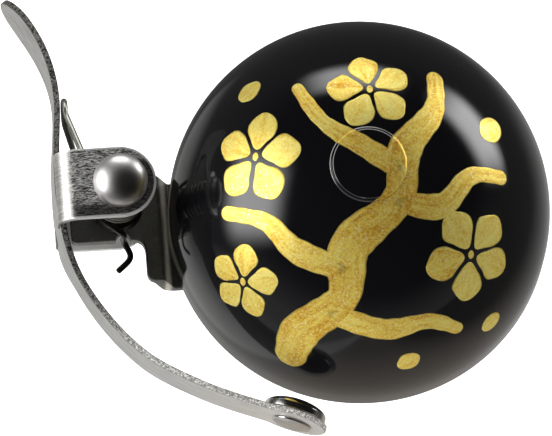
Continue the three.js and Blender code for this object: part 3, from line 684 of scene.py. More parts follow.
@dataclass(frozen=True)
class Plated:
    """A plated metal, satin or glossy, lightly mottled. It may carry a painted highlight, a pale band between
    two places on X with painted light on the shaded part beyond it, and a painted reflection, a dark patch
    round an axis between two radii."""

    name: str
    dark: tuple
    light: tuple
    rough: float
    spread: float = 0.08
    mottle: float = 0.8
    pits: float = 0.25
    warm: tuple | None = None
    metal: float = 1.0
    highlight_band: tuple | None = None
    worn: tuple | None = None
    dust_and_painted_light: tuple = (0.09, 0.088, 0.078)
    painted_highlight: tuple = (0.66, 0.62, 0.5)
    patch: tuple = (0.085, 0.08, 0.078)
    painted_light_x: tuple = (-33.0, -30.0)
    highlight_ease: tuple = (0.6, 0.7)

    def material(self) -> Material:
        """Mottling, cloudy roughness, fine handling marks and shallow pits.

        Returns:
            The material.
        """
        s = Shader.named(self.name)
        where = s.place()
        clouds = s.noise(where, self.mottle, 4, 0.6, 0.6)
        grain = s.noise(where, 7.0, 3, 0.7)
        scratch = s.noise(s.place((9.0, 0.5, 1.4), (0.3, 0.5, 0.9)), 1.0, 3, 0.6, 0.4).span(0.62, 0.7)
        colour = s.ramp(clouds * 0.7 + grain * 0.3, (0.32, self.dark), (0.66, self.light))
        if self.warm:
            colour = s.blend(clouds.span(0.5, 0.8) * 0.5, colour, self.warm)
        # painted highlight: a pale band over the bend; painted light: the shaded part beyond it is lightened
        if self.highlight_band:
            x, (low, high) = s.split(where)[0], self.highlight_band
            drawn = s.noise(s.place((9.0, 0.25, 0.6)), 1.0, 3, 0.6) * 0.6 + 0.4
            colour = s.blend((1 - x.span(*self.painted_light_x)) * 0.8, colour, self.dust_and_painted_light)
            start, end = low + self.highlight_ease[0], high - self.highlight_ease[1]
            painted_highlight = x.span(low, start) * (1 - x.span(end, high)) * drawn
            colour = s.blend(painted_highlight, colour, self.painted_highlight)
        # painted reflection: a dark patch that stands for the head's dark mirror image
        if self.worn:
            x0, y0, inner, outer = self.worn
            far = s.apart(where, x0, y0).span(inner**2, outer**2)
            colour = s.blend((1 - far) * 0.85, colour, self.patch)
        rough = self.rough - self.spread / 2 + clouds * self.spread + scratch * 0.06
        normal = s.bump(1 - scratch, 0.15, 0.01, s.bump(grain * 0.7 + clouds * 0.3, self.pits, 0.02))
        return s.finish(Base_Color=colour, Roughness=rough, Metallic=self.metal, Normal=normal)


@dataclass(frozen=True)
class Moulded:
    """Nylon or rubber: even colour with fine grain and rubbed patches."""

    name: str
    dark: tuple
    light: tuple
    rough: float
    grain_mm: float
    depth: float

    def material(self) -> Material:
        """Grain in colour and bump.

        Returns:
            The material.
        """
        s = Shader.named(self.name)
        where = s.place()
        clouds = s.noise(where, 0.5, 3, 0.6, 0.5)
        grain = s.noise(where, 1 / self.grain_mm, 3, 0.7)
        colour = s.ramp(clouds * 0.6 + grain * 0.4, (0.3, self.dark), (0.7, self.light))
        normal = s.bump(grain, 0.5, self.depth)
        return s.finish(Base_Color=colour, Roughness=self.rough - 0.08 + clouds * 0.16, Normal=normal)


@dataclass(frozen=True)
class DrawnWire:
    """Spring wire with lengthwise drawing marks and faint cross lines, darker in its lower part as a painted
    shade, lighter high up and towards the hairpin as a painted light.
    """

    painted_shade: tuple = ((0.32, (0.045, 0.044, 0.04)), (0.62, (0.11, 0.106, 0.095)))
    painted_light: tuple = ((0.32, (0.2, 0.2, 0.17)), (0.62, (0.62, 0.62, 0.54)))
    wire_light_z: tuple = (26.0, 35.0)
    wire_light_y: tuple = (6.0, 9.0)

    def material(self) -> Material:
        """Marks follow the wire's own length.

        Returns:
            The material.
        """
        s = Shader.named("spring_steel")
        along, turn = s.mark("along"), s.mark("round")
        drawn = s.noise(s.lane(along * 0.5, turn * 5.0, 1.0), 1.0, 4, 0.65, 0.3)
        body = drawn * 0.7 + s.noise(s.lane(along * 6.0, turn * 0.4), 1.0, 2) * 0.3
        # painted light and shade: the wire is lighter high up and towards the hairpin, darker below
        _, y, z = s.split(s.place())
        painted_light = (z.span(*self.wire_light_z) + y.span(*self.wire_light_y) * 0.55).clamped()
        colour = s.blend(painted_light, s.ramp(body, *self.painted_shade), s.ramp(body, *self.painted_light))
        normal = s.bump(body, 0.4, 0.02)
        return s.finish(Base_Color=colour, Roughness=0.24 + body * 0.2, Metallic=1.0, Normal=normal)


class Slot(Enum):
    """The record's material slots, and two finishes of the nickel slot."""

    LACQUER = "lacquer"
    GOLD = "gold_paint"
    ZINC = "zinc"
    DARK = "dark_steel"
    RUBBER = "liner_rubber"
    BRUSHED = "brushed_steel"
    NICKEL = "nickel"
    GLOSS = "nickel_gloss"
    WORN = "nickel_worn"
    NYLON = "nylon"
    WIRE = "spring_steel"


class Body(Enum):
    """The two bodies that the hinge joins."""

    BASE = "bell_base"
    STRIKER = "striker"


class Workshop:
    """Every finish of the bell, made once, and the step from a surface to a dressed piece."""

    def __init__(self) -> None:
        """Builds the materials."""
        finishes = {
            Slot.LACQUER: Lacquer(),
            Slot.GOLD: GoldPaint(),
            Slot.ZINC: Plated("zinc", (0.42, 0.43, 0.44), (0.66, 0.67, 0.66), 0.34),
            Slot.DARK: Plated(
                "dark_steel", (0.036, 0.035, 0.028), (0.056, 0.054, 0.045), 0.26, metal=0.0,
                # painted highlight over the joggle's bend, painted light on the shaded tongue beyond it
                highlight_band=(-28.6, -27.1),
            ),
            Slot.RUBBER: Moulded("liner_rubber", (0.012, 0.012, 0.012), (0.03, 0.03, 0.03), 0.8, 0.3, 0.05),
            Slot.BRUSHED: BrushedSteel(),
            Slot.GLOSS: Plated("nickel_gloss", (0.6, 0.59, 0.57), (0.8, 0.79, 0.77), 0.16, 0.06),
            Slot.WORN: Plated(
                "nickel_worn", (0.8, 0.78, 0.76), (0.95, 0.94, 0.92), 0.4, 0.06, 0.5, 0.3, (0.72, 0.6, 0.56),
                # painted reflection: a dark patch on the rivet's head
                worn=(-33.8, 2.1, 0.5, 2.9),
            ),
            Slot.NYLON: Moulded("nylon", (0.6, 0.58, 0.52), (0.74, 0.72, 0.66), 0.5, 0.4, 0.02),
            Slot.WIRE: DrawnWire(),
        }
        self.by_slot = {slot: finish.material() for slot, finish in finishes.items()}

    def dress(self, obj: Object, slot: Slot) -> None:
        """Gives an object one finish and logs it.

        Args:
            obj: the object.
            slot: the finish.
        """
        obj.data.materials.clear()
        obj.data.materials.append(self.by_slot[slot])
        LOG.info("%s: %d faces, %s", obj.name, len(obj.data.polygons), slot.value)

    def add(
        self, name: str, surface: Surface, slot: Slot, body: Body, *nodes: str, sharp_deg: float = 50
    ) -> Object:
        """Makes a piece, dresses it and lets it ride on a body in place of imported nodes.

        Args:
            name: the piece's name.
            surface: its surface.
            slot: its finish.
            body: what it moves with.
            nodes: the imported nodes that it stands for.
            sharp_deg: edges that turn by more stay sharp.

        Returns:
            The piece.
        """
        obj = piece(name, surface, sharp_deg)
        self.dress(obj, slot)
        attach(obj, body.value)
        if nodes:
            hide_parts(*nodes)
        return obj


# The photograph's view: back to the camera, and up and right in the picture
BACK = unit(np.array([-0.062, -0.249, 0.9665]))
UP = np.array([0.075, 0.997, 0.0])
UP = unit(UP - BACK * (UP @ BACK))
RIGHT = np.cross(UP, BACK)


# Dome and paint
@dataclass
class Dome:
    """The pressed dome with its raised crown disc."""

    wall: float = 1.2
    rim_z: float = 20.9
    crown_lip: float = 0.3
    crown_rise: float = 0.25
    seat_z: float = 50.7
    rim_edge: float = 0.45
    segments: int = 300
    paint_h: float = 0.05
    paint_sink: float = 0.05
    paint_set: float = 0.004
    paint_step: float = 0.12
    paint_under: int = 9
    ridge_low: float = 0.72
    ridge_rise: tuple = (0.45, 0.85)
    waver_short: tuple = (2.3, 0.6, 2.1)
    waver_long: float = 0.9
    thin_half: float = 0.5
    seed_run: float = 17.0

    def lip(self) -> tuple[float, float]:
        """The angles from the axis between which the crown's lip falls."""
        return math.asin((CROWN_R - self.crown_lip) / DOME_R), math.asin(CROWN_R / DOME_R)

    def outer(self, polar: Array) -> Array:
        """The outside radius at angles from +Z: the sphere's, plus the crown disc's rise."""
        return DOME_R + self.crown_rise * (1 - smoothstep(*self.lip(), polar))

    def shell(self) -> Surface:
        """The dome: outer sphere and skirt, rounded rim, inner sphere and the boss's flat seat.

        Returns:
            The closed surface.
        """
        brow, foot = self.lip()
        cap = np.linspace(0, brow, 8)[:-1]
        polar = np.concatenate([cap, np.linspace(brow, foot, 9), np.linspace(foot, np.pi / 2, 110)[1:]])
        r = self.outer(polar)
        outside = np.stack([r * np.sin(polar), CENTRE_Z + r * np.cos(polar)], -1)
        inner = DOME_R - self.wall
        low, high = (self.rim_z, self.rim_edge), (CENTRE_Z, 0)
        rim = rounded([(DOME_R, *high), (DOME_R, *low), (inner, *low), (inner, *high)])[1:]
        back = np.linspace(np.pi / 2, math.asin(CROWN_R / inner), 60)[1:]
        inside = np.stack([inner * np.sin(back), CENTRE_Z + inner * np.cos(back)], -1)
        end = np.array([[CROWN_R, self.seat_z], [0, self.seat_z]])
        return lathe(np.concatenate([outside, rim, inside, end]), self.segments)

    def on_dome(self, flat: Array, height: Array) -> Array:
        """Lays a drawing on the dome: a point's distance and direction from the middle of the view become an
        angle from the view's axis and a direction round it, and the height is added to the dome's radius.

        Args:
            flat: points x 2 in the drawing.
            height: above the dome.

        Returns:
            Points in space.
        """
        far = np.linalg.norm(flat, axis=-1)[..., None]
        way = flat / np.maximum(far, 1e-9)
        angle = far / DOME_R
        out = way[..., :1] * RIGHT + way[..., 1:] * UP
        n = np.cos(angle) * BACK + np.sin(angle) * out
        r = self.outer(np.arccos(np.clip(n[..., 2], -1, 1))) + height
        return n * r[..., None] + np.array([0, 0, CENTRE_Z])

    def stroke(
        self, line: Array, widths: Array, load: float, wave: float, seed: int, count: int = 21
    ) -> Surface:
        """One brush stroke: a low ridge-edged ribbon laid on the dome along a smooth line.

        The half-width follows the given widths, closes in a half circle at both ends and wavers by a sum of
        two sines. The height is flat in the middle, a little higher near the edges and falls to the dome.

        Args:
            line: points x 2 of the stroke's middle.
            widths: half-width at each of these points.
            load: its tone, 0 to 1: high for a painted light, low for a painted shade.
            wave: size of the wavering edge.
            seed: its phase.
            count: points across its top.

        Returns:
            The closed ribbon.
        """
        track = spline(np.column_stack([line, widths]), int(max(90, run_of(line)[-1] / self.paint_step)))
        middle, half = track[:, :2], track[:, 2]
        side = left(unit(np.gradient(middle, axis=0)))
        run = run_of(middle)
        for end in (run, run[-1] - run):
            near = np.clip(end / np.maximum(half, 1e-6), 0, 1)
            half = half * np.sqrt(np.maximum(near * (2 - near), 0))
        share = np.sin(np.linspace(-np.pi / 2, np.pi / 2, count))
        rate, part, shift = self.waver_short
        waver = wave * (np.sin(run * self.waver_long + seed) + part * np.sin(run * rate + shift * seed))
        ridge = self.ridge_low + (1 - self.ridge_low) * smoothstep(*self.ridge_rise, np.abs(share))
        top = self.paint_h * ridge * np.sqrt(np.maximum(1 - np.abs(share) ** 5, 0)) - self.paint_set
        under = np.linspace(1, -1, self.paint_under)[1:-1]
        shares = np.concatenate([share, under])
        heights = np.concatenate([top, np.full_like(under, -self.paint_sink)])
        reach = (half + waver * np.clip(half, 0, 1))[:, None] * shares
        flat = middle[:, None] + reach[..., None] * side[:, None]
        thin = np.clip(half / self.thin_half, 0, 1)[:, None]
        rings = self.on_dome(flat, np.where(heights > 0, heights * thin, heights))
        marks = {"along": run[:, None] + self.seed_run * seed, "across": shares[None], "load": load}
        return skin(rings, cap=True, marks=marks)

    def build(self, shop: Workshop) -> None:
        """Makes and dresses the shell."""
        shop.add("dome_shell", self.shell(), Slot.LACQUER, Body.BASE, "bell_dome")


@dataclass
class Branch:
    """A flowering branch in broad brush strokes, drawn flat as seen in the picture and laid on the dome."""

    dome: Dome
    bough: tuple = (
        (-12.5, -26.5, 2.6), (-9.5, -19.0, 3.2), (-2.5, -12.5, 2.5), (-1.5, -5.0, 3.0),
        (5.5, 2.0, 2.3), (6.5, 9.0, 2.5), (11.5, 16.0, 1.7), (12.5, 23.5, 1.3),
    )
    twigs: tuple = (
        ((-2.0, -8.5, 1.8), (-9.5, -5.5, 1.9), (-14.0, -1.5, 1.4), (-22.0, 0.0, 1.1)),
        ((5.0, 1.5, 1.6), (12.0, 1.0, 1.9), (17.0, 5.5, 1.4), (24.0, 5.5, 1.1)),
        ((-5.0, -15.0, 1.7), (4.0, -18.0, 1.9), (11.0, -17.0, 1.4), (17.0, -19.5, 1.1)),
        ((6.0, 6.0, 1.5), (0.5, 9.5, 1.6), (-5.5, 13.5, 1.2), (-10.5, 20.5, 1.0)),
    )
    blossoms: tuple = (
        (-16.0, 8.5, 1.25, 10.0), (17.0, -6.5, 1.28, 50.0), (1.5, 19.0, 1.15, 30.0), (-18.5, -11.0, 1.05, 5.0)
    )
    buds: tuple = ((-19.0, 20.5, 2.1), (21.5, 13.5, 2.3), (23.0, -19.5, 1.9), (8.0, -25.0, 1.9))
    petals: tuple = ((0.9, 0.45), (2.0, 1.15), (3.1, 1.95), (4.2, 2.15), (5.2, 1.7), (5.9, 1.1))
    across: int = 61
    petal_count: int = 5

    def wood(self) -> Surface:
        """The bough and its twigs.

        Returns:
            All the strokes as one surface.
        """
        strokes = []
        for k, points in enumerate((self.bough, *self.twigs)):
            x, y, half = np.array(points).T
            # low tone numbers make the wood a painted shade of brown
            load, wave = (0.55 - 0.1 * ((k - 1) % 2), 0.06) if k else (0.4, 0.07)
            strokes.append(self.dome.stroke(np.stack([x, y], -1), half, load, wave, k + 1, self.across))
        return joined(strokes)

    def flowers(self) -> Surface:
        """Five round petals and a dot for each blossom, and one round dab for each bud.

        Returns:
            All the dabs as one surface.
        """
        dabs = []
        reach, half = np.array(self.petals).T
        for k, (x, y, size, turn) in enumerate(self.blossoms):
            for n in range(self.petal_count):
                a = math.radians(turn + 360 / self.petal_count * n) + 0.12 * np.sin(reach + n + k) * 0.2
                line = np.array([x, y]) + size * reach[:, None] * np.stack([np.cos(a), np.sin(a)], -1)
                # high tone numbers make the petals a painted light yellow
                dabs.append(self.dome.stroke(line, size * half, 0.8 - 0.12 * (n % 3), 0.06, 5 * k + n))
            dot = np.array([[x - 0.5, y], [x + 0.5, y]])
            dabs.append(self.dome.stroke(dot, np.array([0.8, 0.8]), 0.5, 0.0, k))
        for k, (x, y, r) in enumerate(self.buds):
            line = np.array([[x - 0.8 * r, y - 0.6 * r], [x, y], [x + 0.9 * r, y + 0.8 * r]])
            dabs.append(self.dome.stroke(line, np.array([0.75 * r, r, 0.7 * r]), 0.7, 0.06, 40 + k))
        return joined(dabs)

    def build(self, shop: Workshop) -> None:
        """Makes and dresses the paint."""
        for name, surface in (("painted_wood", self.wood()), ("painted_blossoms", self.flowers())):
            shop.add(name, surface, Slot.GOLD, Body.BASE, sharp_deg=60)


# Lever
@dataclass
class Lever:
    """One folded sheet: thumb pad, two ears for the rivet, curved arm and the hammer's pad."""

    thickness: float = 0.9
    edge: float = 0.17
    proud: float = 0.003
    standoff: float = 9.15
    ear_span: float = 19.7
    ear_r: float = 5.15
    fold_r: float = 3.0
    shoulder: float = 8.0
    shoulder_start: float = 5.4
    thumb_w: float = 12.2
    thumb_reach: float = 29.77
    thumb_flare: float = 6.5
    waist_w: float = 9.4
    waist_reach: float = 13.9
    waist_inset: float = 0.7
    arm_w: float = 7.8
    pad_r: float = 5.0
    arm_course: tuple = ((8, 0.07), (20.2, 0.26), (33.4, 0.48), (46.2, 0.755), (55, 0.9))
    hammer_r: float = 4.5
    hammer_edge: float = 0.8
    hammer_dome: float = 1.5
    hammer_gap: float = 3.45
    hammer_deg: float = 68.7
    hammer_bed: float = 0.1
    join_power: int = 14
    margin: float = 0.02
    corner_margin: float = 0.06
    ear_foot: float = 2.2
    neck: float = 2.6
    peened: tuple = ((0, -0.6, 0), (1.9, -0.6, 0.5), (2.85, -0.32, 0.25), (2.85, -0.1, 0.06), (1.6, -0.1, 0))
    peened_r: float = 1.6

    def __post_init__(self) -> None:
        """Works out the course of the sheet's outer face once."""
        self.line = spline(self._corners(), 1601)
        self.run = run_of(self.line)
        self.length = float(self.run[-1])
        self.way = unit(np.gradient(self.line, axis=0))
        self.pad_at = self.length - self.pad_r
        self.pivot_at = float(self.run[np.argmin(np.abs(self.line[:, 1] - PIVOT[1]))])

    def _corners(self) -> Array:
        """The outer face from above: thumb pad, waist, pivot, arm and hammer pad.

        Returns:
            Points x 2.
        """
        face = PIVOT[0] - self.standoff
        waist = face + self.waist_inset
        waist_y = PIVOT[1] + self.waist_reach
        u = np.array([1, 0.75, 0.5, 0.25])
        reach = self.thumb_reach - self.waist_reach
        thumb = np.stack([waist - self.thumb_flare * u**2, waist_y + reach * u], -1)
        straight = [(waist, waist_y), (face, PIVOT[1] + self.ear_r), (face, PIVOT[1] - self.ear_r / 2)]
        start = math.hypot(face, PIVOT[1] - self.shoulder_start)
        at_hammer = math.sqrt(DOME_R**2 - (MIDDLE_Z - CENTRE_Z) ** 2)
        end = at_hammer + self.hammer_gap + self.hammer_dome + self.hammer_edge + self.thickness
        turn, share = np.array([*self.arm_course, (self.hammer_deg, 1.0)]).T
        turn, far = np.radians(180 + turn), start + (end - start) * share
        arm = np.stack([far * np.cos(turn), far * np.sin(turn)], -1)
        along = unit(arm[-1] - arm[-2]) * self.pad_r
        return np.concatenate([thumb, straight, arm[:-1], [arm[-1] - along, arm[-1] + along]])

    def at(self, s: Array) -> tuple[Array, Array]:
        """The outer face and its inward normal at distances along the course."""
        return sample(self.line, self.run, s), left(unit(sample(self.way, self.run, s)))

    def half(self, s: Array, inset: Array) -> Array:
        """Half the strip's height: tall between the ears, eased to the waist, which spreads to the thumb pad,
        and to the arm. It is round at the thumb tip, and a high-order sum of powers joins it to the hammer's
        pad.

        Args:
            s: distances along the course.
            inset: how far the outline is drawn in.

        Returns:
            Half heights.
        """
        tip = self.thumb_w / 2
        fold = self.ear_span / 2 - self.fold_r
        away = np.abs(s - self.pivot_at)
        spread = smoothstep(self.waist_reach, self.thumb_reach - tip, away)
        thumb = (self.waist_w + (self.thumb_w - self.waist_w) * spread) / 2
        limb = np.where(s < self.pivot_at, thumb, self.arm_w / 2)
        ease = smoothstep(self.shoulder_start, self.shoulder_start + self.shoulder, away)
        body = fold + (limb - fold) * ease - inset
        round_tip = np.sqrt(np.maximum((tip - inset) ** 2 - (tip - s) ** 2, 0))
        body = np.where(s < tip, np.minimum(body, round_tip), body)
        from_pad = s - self.pad_at
        pad = np.sqrt(np.maximum((self.pad_r - inset) ** 2 - from_pad**2, 0))
        both = (np.maximum(body, 0) ** self.join_power + pad**self.join_power) ** (1 / self.join_power)
        return np.where(from_pad > 0, pad, both)

    def section(self, thickness: float) -> tuple[Array, Array, Array, Array]:
        """Once round the sheet's section.

        Args:
            thickness: of the sheet.

        Returns:
            Share of the half-width, inset, depth, and how far each point is on the edge.
        """
        inset, depth = quarter(self.edge, 5)
        face = np.linspace(-1, 1, 9)
        margin = np.full(len(face), self.edge + self.margin)
        margin[[0, -1]] += self.corner_margin
        rise = np.array([0.0, 0.2, 0.6, 1.0, 1.0])
        ones, flat, back = np.ones(5), 0 * face, thickness - depth
        share = np.concatenate([face, ones, ones, -face, -ones, -ones])
        insets = np.concatenate([margin, inset, inset[::-1]] * 2)
        depths = np.concatenate([flat, depth, back[::-1], flat + thickness, back, depth[::-1]])
        return share, insets, depths, np.concatenate([flat, rise, rise[::-1]] * 2)

    def strip(self) -> Surface:
        """The long strip. Each point of the rounded section has its own inset, so that the outline closes
        round both tips at every depth.

        Returns:
            The closed strip.
        """
        share, inset, depth, rim = self.section(self.thickness)
        tip = self.thumb_w / 2
        cos = arc(0, 90, 15)[0]
        neck = np.linspace(self.length - self.neck * self.pad_r, self.pad_at, 40)
        body = np.linspace(tip, neck[0], 210)[1:-1]
        last = self.length - self.pad_r * (1 - cos)[::-1]
        s0 = np.concatenate([tip * (1 - cos), body, neck, last[1:]]) / self.length
        s = inset + s0[:, None] * (self.length - 2 * inset)
        point, normal = self.at(s)
        flat = point + normal * depth[None, :, None]
        up = share * self.half(s, inset)
        rings = np.concatenate([flat, (MIDDLE_Z + up)[..., None]], -1)
        return skin(rings, marks={"along": s, "up": up, "edge": rim, "ear": 0.0})

    def ear(self, up: int) -> Surface:
        """One ear: up the strip's face, round the fold and flat out to a half circle round the rivet.

        Args:
            up: 1 for the upper ear, -1 for the lower.

        Returns:
            The closed ear; its foot lies inside the strip.
        """
        share, inset, depth, rim = self.section(self.thickness + 2 * self.proud)
        face = PIVOT[0] - self.standoff - self.proud
        top = self.ear_span / 2 + self.proud
        bend_r = self.fold_r + self.proud
        foot = self.ear_span / 2 - self.fold_r - self.ear_foot
        rise = top - bend_r - foot
        bend = rise + bend_r * np.pi / 2
        length = bend + PIVOT[0] + self.ear_r - (face + bend_r)
        ends = (0, rise, bend, length - self.ear_r)
        parts = [np.linspace(a, b, n)[:-1] for a, b, n in zip(ends, ends[1:], (10, 20, 30))]
        tip = length - self.ear_r + self.ear_r * arc(0, 90, 22)[1]
        s = (np.concatenate([*parts, tip]) / length)[:, None] * (length - inset)
        angle = np.clip((s - rise) / bend_r, 0, np.pi / 2)
        x = face + bend_r * (1 - np.cos(angle)) + np.maximum(s - bend, 0)
        z = foot + np.minimum(s, rise) + bend_r * np.sin(angle)
        x, z = x + depth * np.cos(angle), z - depth * np.sin(angle)
        beyond = np.maximum(s - (length - self.ear_r), 0)
        y = PIVOT[1] + share * np.sqrt(np.maximum((self.ear_r - inset) ** 2 - beyond**2, 0))
        marks = {"along": x, "up": y, "edge": rim, "ear": smoothstep(rise * 0.5, bend, s)}
        return skin(np.stack([x, y, MIDDLE_Z + up * z], -1), cap=True, marks=marks)

    def hammer(self) -> Surface:
        """The low domed hammer with its peened back: a turned piece with its axis along the pad's inward
        normal, its heights counted inwards from the pad's outer face.

        Returns:
            The closed surface.
        """
        foot = self.thickness + self.hammer_bed
        brow = foot + self.hammer_edge
        cos, sin = arc(0, 90, 24)
        dome = np.stack([self.hammer_r * cos, brow + self.hammer_dome * sin], -1)
        side = [(self.peened_r, foot, 0), (self.hammer_r - 0.1, foot, 0.15), (self.hammer_r, foot + 0.2, 0.1)]
        surface = lathe(np.concatenate([rounded([*self.peened, *side, (self.hammer_r, brow, 0)]), dome[1:]]))
        point, normal = (part[0] for part in self.at(np.array([self.pad_at])))
        x, y, z = surface.points.T
        flat = point + z[:, None] * normal + x[:, None] * left(normal)
        surface.points = np.column_stack([flat, MIDDLE_Z + y])
        return surface

    def sheet(self) -> Surface:
        """The strip and both ears."""
        return joined([self.strip(), self.ear(1), self.ear(-1)])

    def build(self, shop: Workshop) -> None:
        """Makes and dresses the sheet and the hammer."""
        shop.add("lever_sheet", self.sheet(), Slot.BRUSHED, Body.STRIKER, "lever")
        shop.add("hammer_button", self.hammer(), Slot.GLOSS, Body.STRIKER, "hammer")


@dataclass
class Pivot:
    """The domed rivet, the sleeve between the ears and the nylon washer."""

    shank_r: float = 2.0
    head_r: float = 3.9
    head_edge: float = 0.6
    head_dome: float = 2.5
    top_z: float = 38.9
    under_z: float = 19.2
    tail_r: float = 3.0
    tail_h: float = 1.2
    sleeve: tuple = (2.15, 2.6, 23.5, 38.0, 0.08)
    washer: tuple = (2.15, 3.4, 20.1, 21.1, 0.15)

    def rivet(self) -> Surface:
        """Domed head, shank and closed tail.

        Returns:
            The closed surface.
        """
        brow, end_z = self.top_z + self.head_edge, self.under_z - self.tail_h
        cos, sin = arc(0, 90, 40)
        head = np.stack([self.head_r * cos**0.96, brow + self.head_dome * sin], -1)
        head[-1, 0] = 0
        tail = [(0, end_z + 0.1, 0), (0.9, end_z, 0.3), (self.tail_r * 0.75, end_z, 0.4)]
        tail += [(self.tail_r, self.under_z - self.tail_h * 0.5, 0.4), (self.tail_r, self.under_z, 0.1)]
        shank = [(self.shank_r, self.under_z, 0), (self.shank_r, self.top_z, 0)]
        under = [(self.head_r - 0.12, self.top_z, 0.1), (self.head_r, self.top_z + 0.15, 0.1)]
        low = rounded([*tail, *shank, *under, (self.head_r, brow, 0)])
        return lathe(np.concatenate([low, head[1:]]), 128, PIVOT)

    def ring(self, inner: float, outer: float, low: float, high: float, edge: float) -> Surface:
        """A washer or sleeve with rounded edges round the pivot, between two radii and two heights."""
        line = [((inner + outer) / 2, low, 0), (outer, low, edge), (outer, high, edge), (inner, high, edge)]
        return lathe(rounded([*line, (inner, low, edge), line[0]]), 72, PIVOT)

    def build(self, shop: Workshop) -> None:
        """Makes and dresses the rivet, the sleeve and the washer.

        Args:
            shop: the finishes.
        """
        shop.add("rivet_domed", self.rivet(), Slot.WORN, Body.STRIKER, "pivot_rivet")
        shop.add("sleeve_tube", self.ring(*self.sleeve), Slot.ZINC, Body.STRIKER, "pivot_sleeve")
        shop.add("nylon_washer", self.ring(*self.washer), Slot.NYLON, Body.BASE, "pivot_washer")


# Spring
@dataclass
class Spring:
    """The double torsion spring: hook, lower coil, hairpin, upper coil and the end in its notch."""

    wire_r: float = 0.45
    coil_r: float = 3.3
    pitch: float = 1.37
    lower_turns: int = 2
    upper_turns: int = 5
    upper_end: float = 30.0
    low_z: float = 23.95
    top_z: float = 36.55
    apex: tuple = (-6.8, 12.25)
    level: float = 3.2
    hairpin_r: float = 2.6
    tail_run: float = 3.3
    hook: tuple = ((0.6, -4.8), (1.8, -7.3), (-0.6, -9.3))
    sunk_z: float = 22.85
    bend_r: float = 1.0
    hook_r: float = 0.8
    end_z: float = 21.7
    still: float = 4.3
    moving: float = 11.8
    coil_step_deg: float = 6.0
    path_step: float = 0.3
    hook_ease: float = 0.35

    def on_coil(self, degrees: Array) -> Array:
        """Points of the coil seen from above, counted from the pivot."""
        a = np.radians(np.asarray(degrees, float))
        return np.stack([self.coil_r * np.cos(a), self.coil_r * np.sin(a)], -1)

    def tail(self) -> Array:
        """The place of the upper end's drop, counted from the pivot."""
        away = self.on_coil(self.upper_end + 90) / self.coil_r
        return self.on_coil(self.upper_end) + away * self.tail_run

    def tangent(self, place: Array, side: int) -> float:
        """The degrees on the coil whose tangent goes to a place, on one side of it."""
        off = math.acos(self.coil_r / np.linalg.norm(place))
        return math.degrees(math.atan2(place[1], place[0]) + side * off)

    def coil(self, leave: float, end: float, turns_whole: int, z: float, pitch: float) -> Array:
        """A coil from the hairpin's leg to its free end, anticlockwise seen from above.

        Args:
            leave: degrees at the leg.
            end: degrees at the free end.
            turns_whole: whole turns.
            z: height at the leg.
            pitch: rise for each turn.

        Returns:
            Points x 3.
        """
        sweep = (end - leave) % 360 + 360 * turns_whole
        turned = np.linspace(0, sweep, int(sweep / self.coil_step_deg))
        return np.column_stack([self.on_coil(leave + turned), z + pitch * turned / 360])

    def drop(self, end: Array, place: Array, bottom: float) -> Array:
        """A free end that runs on to a place, bends down over it and ends at a height.

        Args:
            end: the coil's last point.
            place: x and y of the drop.
            bottom: its height.

        Returns:
            Points x 3.
        """
        cos, sin = arc(90, 180, 9)
        flat = place + unit(end[:2] - place) * (self.bend_r * (1 + cos))[:, None]
        over = np.column_stack([flat, end[2] - self.bend_r + self.bend_r * sin])
        return np.concatenate([over, [[*place, bottom]]])

    def hooked(self, end: Array) -> Array:
        """The lower free end: down into its notch, out under the tongue and round a bend.

        Args:
            end: the lower coil's last point.

        Returns:
            Points x 3.
        """
        notch, corner, tip = np.array(self.hook)
        cos, sin = arc(180, 270, 8)
        flat = notch + unit(corner - notch) * (self.hook_r * (1 + cos))[:, None]
        foot = np.column_stack([flat, self.sunk_z + self.hook_r * (1 + sin)])
        near, far = (corner + (place - corner) * self.hook_ease for place in (notch, tip))
        out = np.concatenate([bent(near, corner, far, 7), [tip]])
        out = np.column_stack([out, np.full(len(out), self.sunk_z)])
        return np.concatenate([self.drop(end, notch, self.sunk_z + self.hook_r), foot, out])

    def path(self) -> Array:
        """The wire's centre line: straight legs, circular coils and bends, smoothed a little at the joins.

        Returns:
            Points x 3.
        """
        apex = np.array(self.apex)
        leave, hook_deg = self.tangent(apex, 1), self.tangent(np.array(self.hook[0]), -1)
        start = self.on_coil(leave)
        clear = start + unit(apex - start) * self.level
        lower = self.coil(leave, hook_deg, self.lower_turns, self.low_z, self.pitch)
        upper = self.coil(leave, self.upper_end, self.upper_turns, self.top_z, -self.pitch)
        cos, sin = arc(-90, 90, 21)
        across, over = apex[1] + self.hairpin_r * cos, MIDDLE_Z + self.hairpin_r * sin
        bend = np.column_stack([0 * cos + apex[0], across, over])
        legs = [[[*clear, z]] for z in (self.low_z, self.top_z)]
        tail = self.drop(upper[-1], self.tail(), self.end_z)
        rough = [self.hooked(lower[-1])[::-1], lower[::-1], legs[0], bend, legs[1], upper, tail]
        line = resampled(np.concatenate(rough), self.path_step)
        kernel = np.array([1, 2, 3, 2, 1]) / 9
        padded = np.pad(line, ((2, 2), (0, 0)), mode="edge")
        calm = np.stack([np.convolve(padded[:, k], kernel, "valid") for k in range(3)], -1)
        calm[[0, -1]] = line[[0, -1]]
        return calm + np.array([*PIVOT, 0])

    def build(self, shop: Workshop) -> None:
        """Makes and dresses the wire in place of the imported spring.

        Args:
            shop: the finishes.
        """
        wire = piece("spring_wire", tube(self.path(), self.wire_r), 60)
        shop.dress(wire, Slot.WIRE)
        leg = np.array(PIVOT) + unit(np.array(self.apex)) * np.array([[self.still], [self.moving]])
        start, end = ((*(place * MM), MIDDLE_Z * MM) for place in leg)
        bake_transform(wire)
        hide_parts("lever_spring")


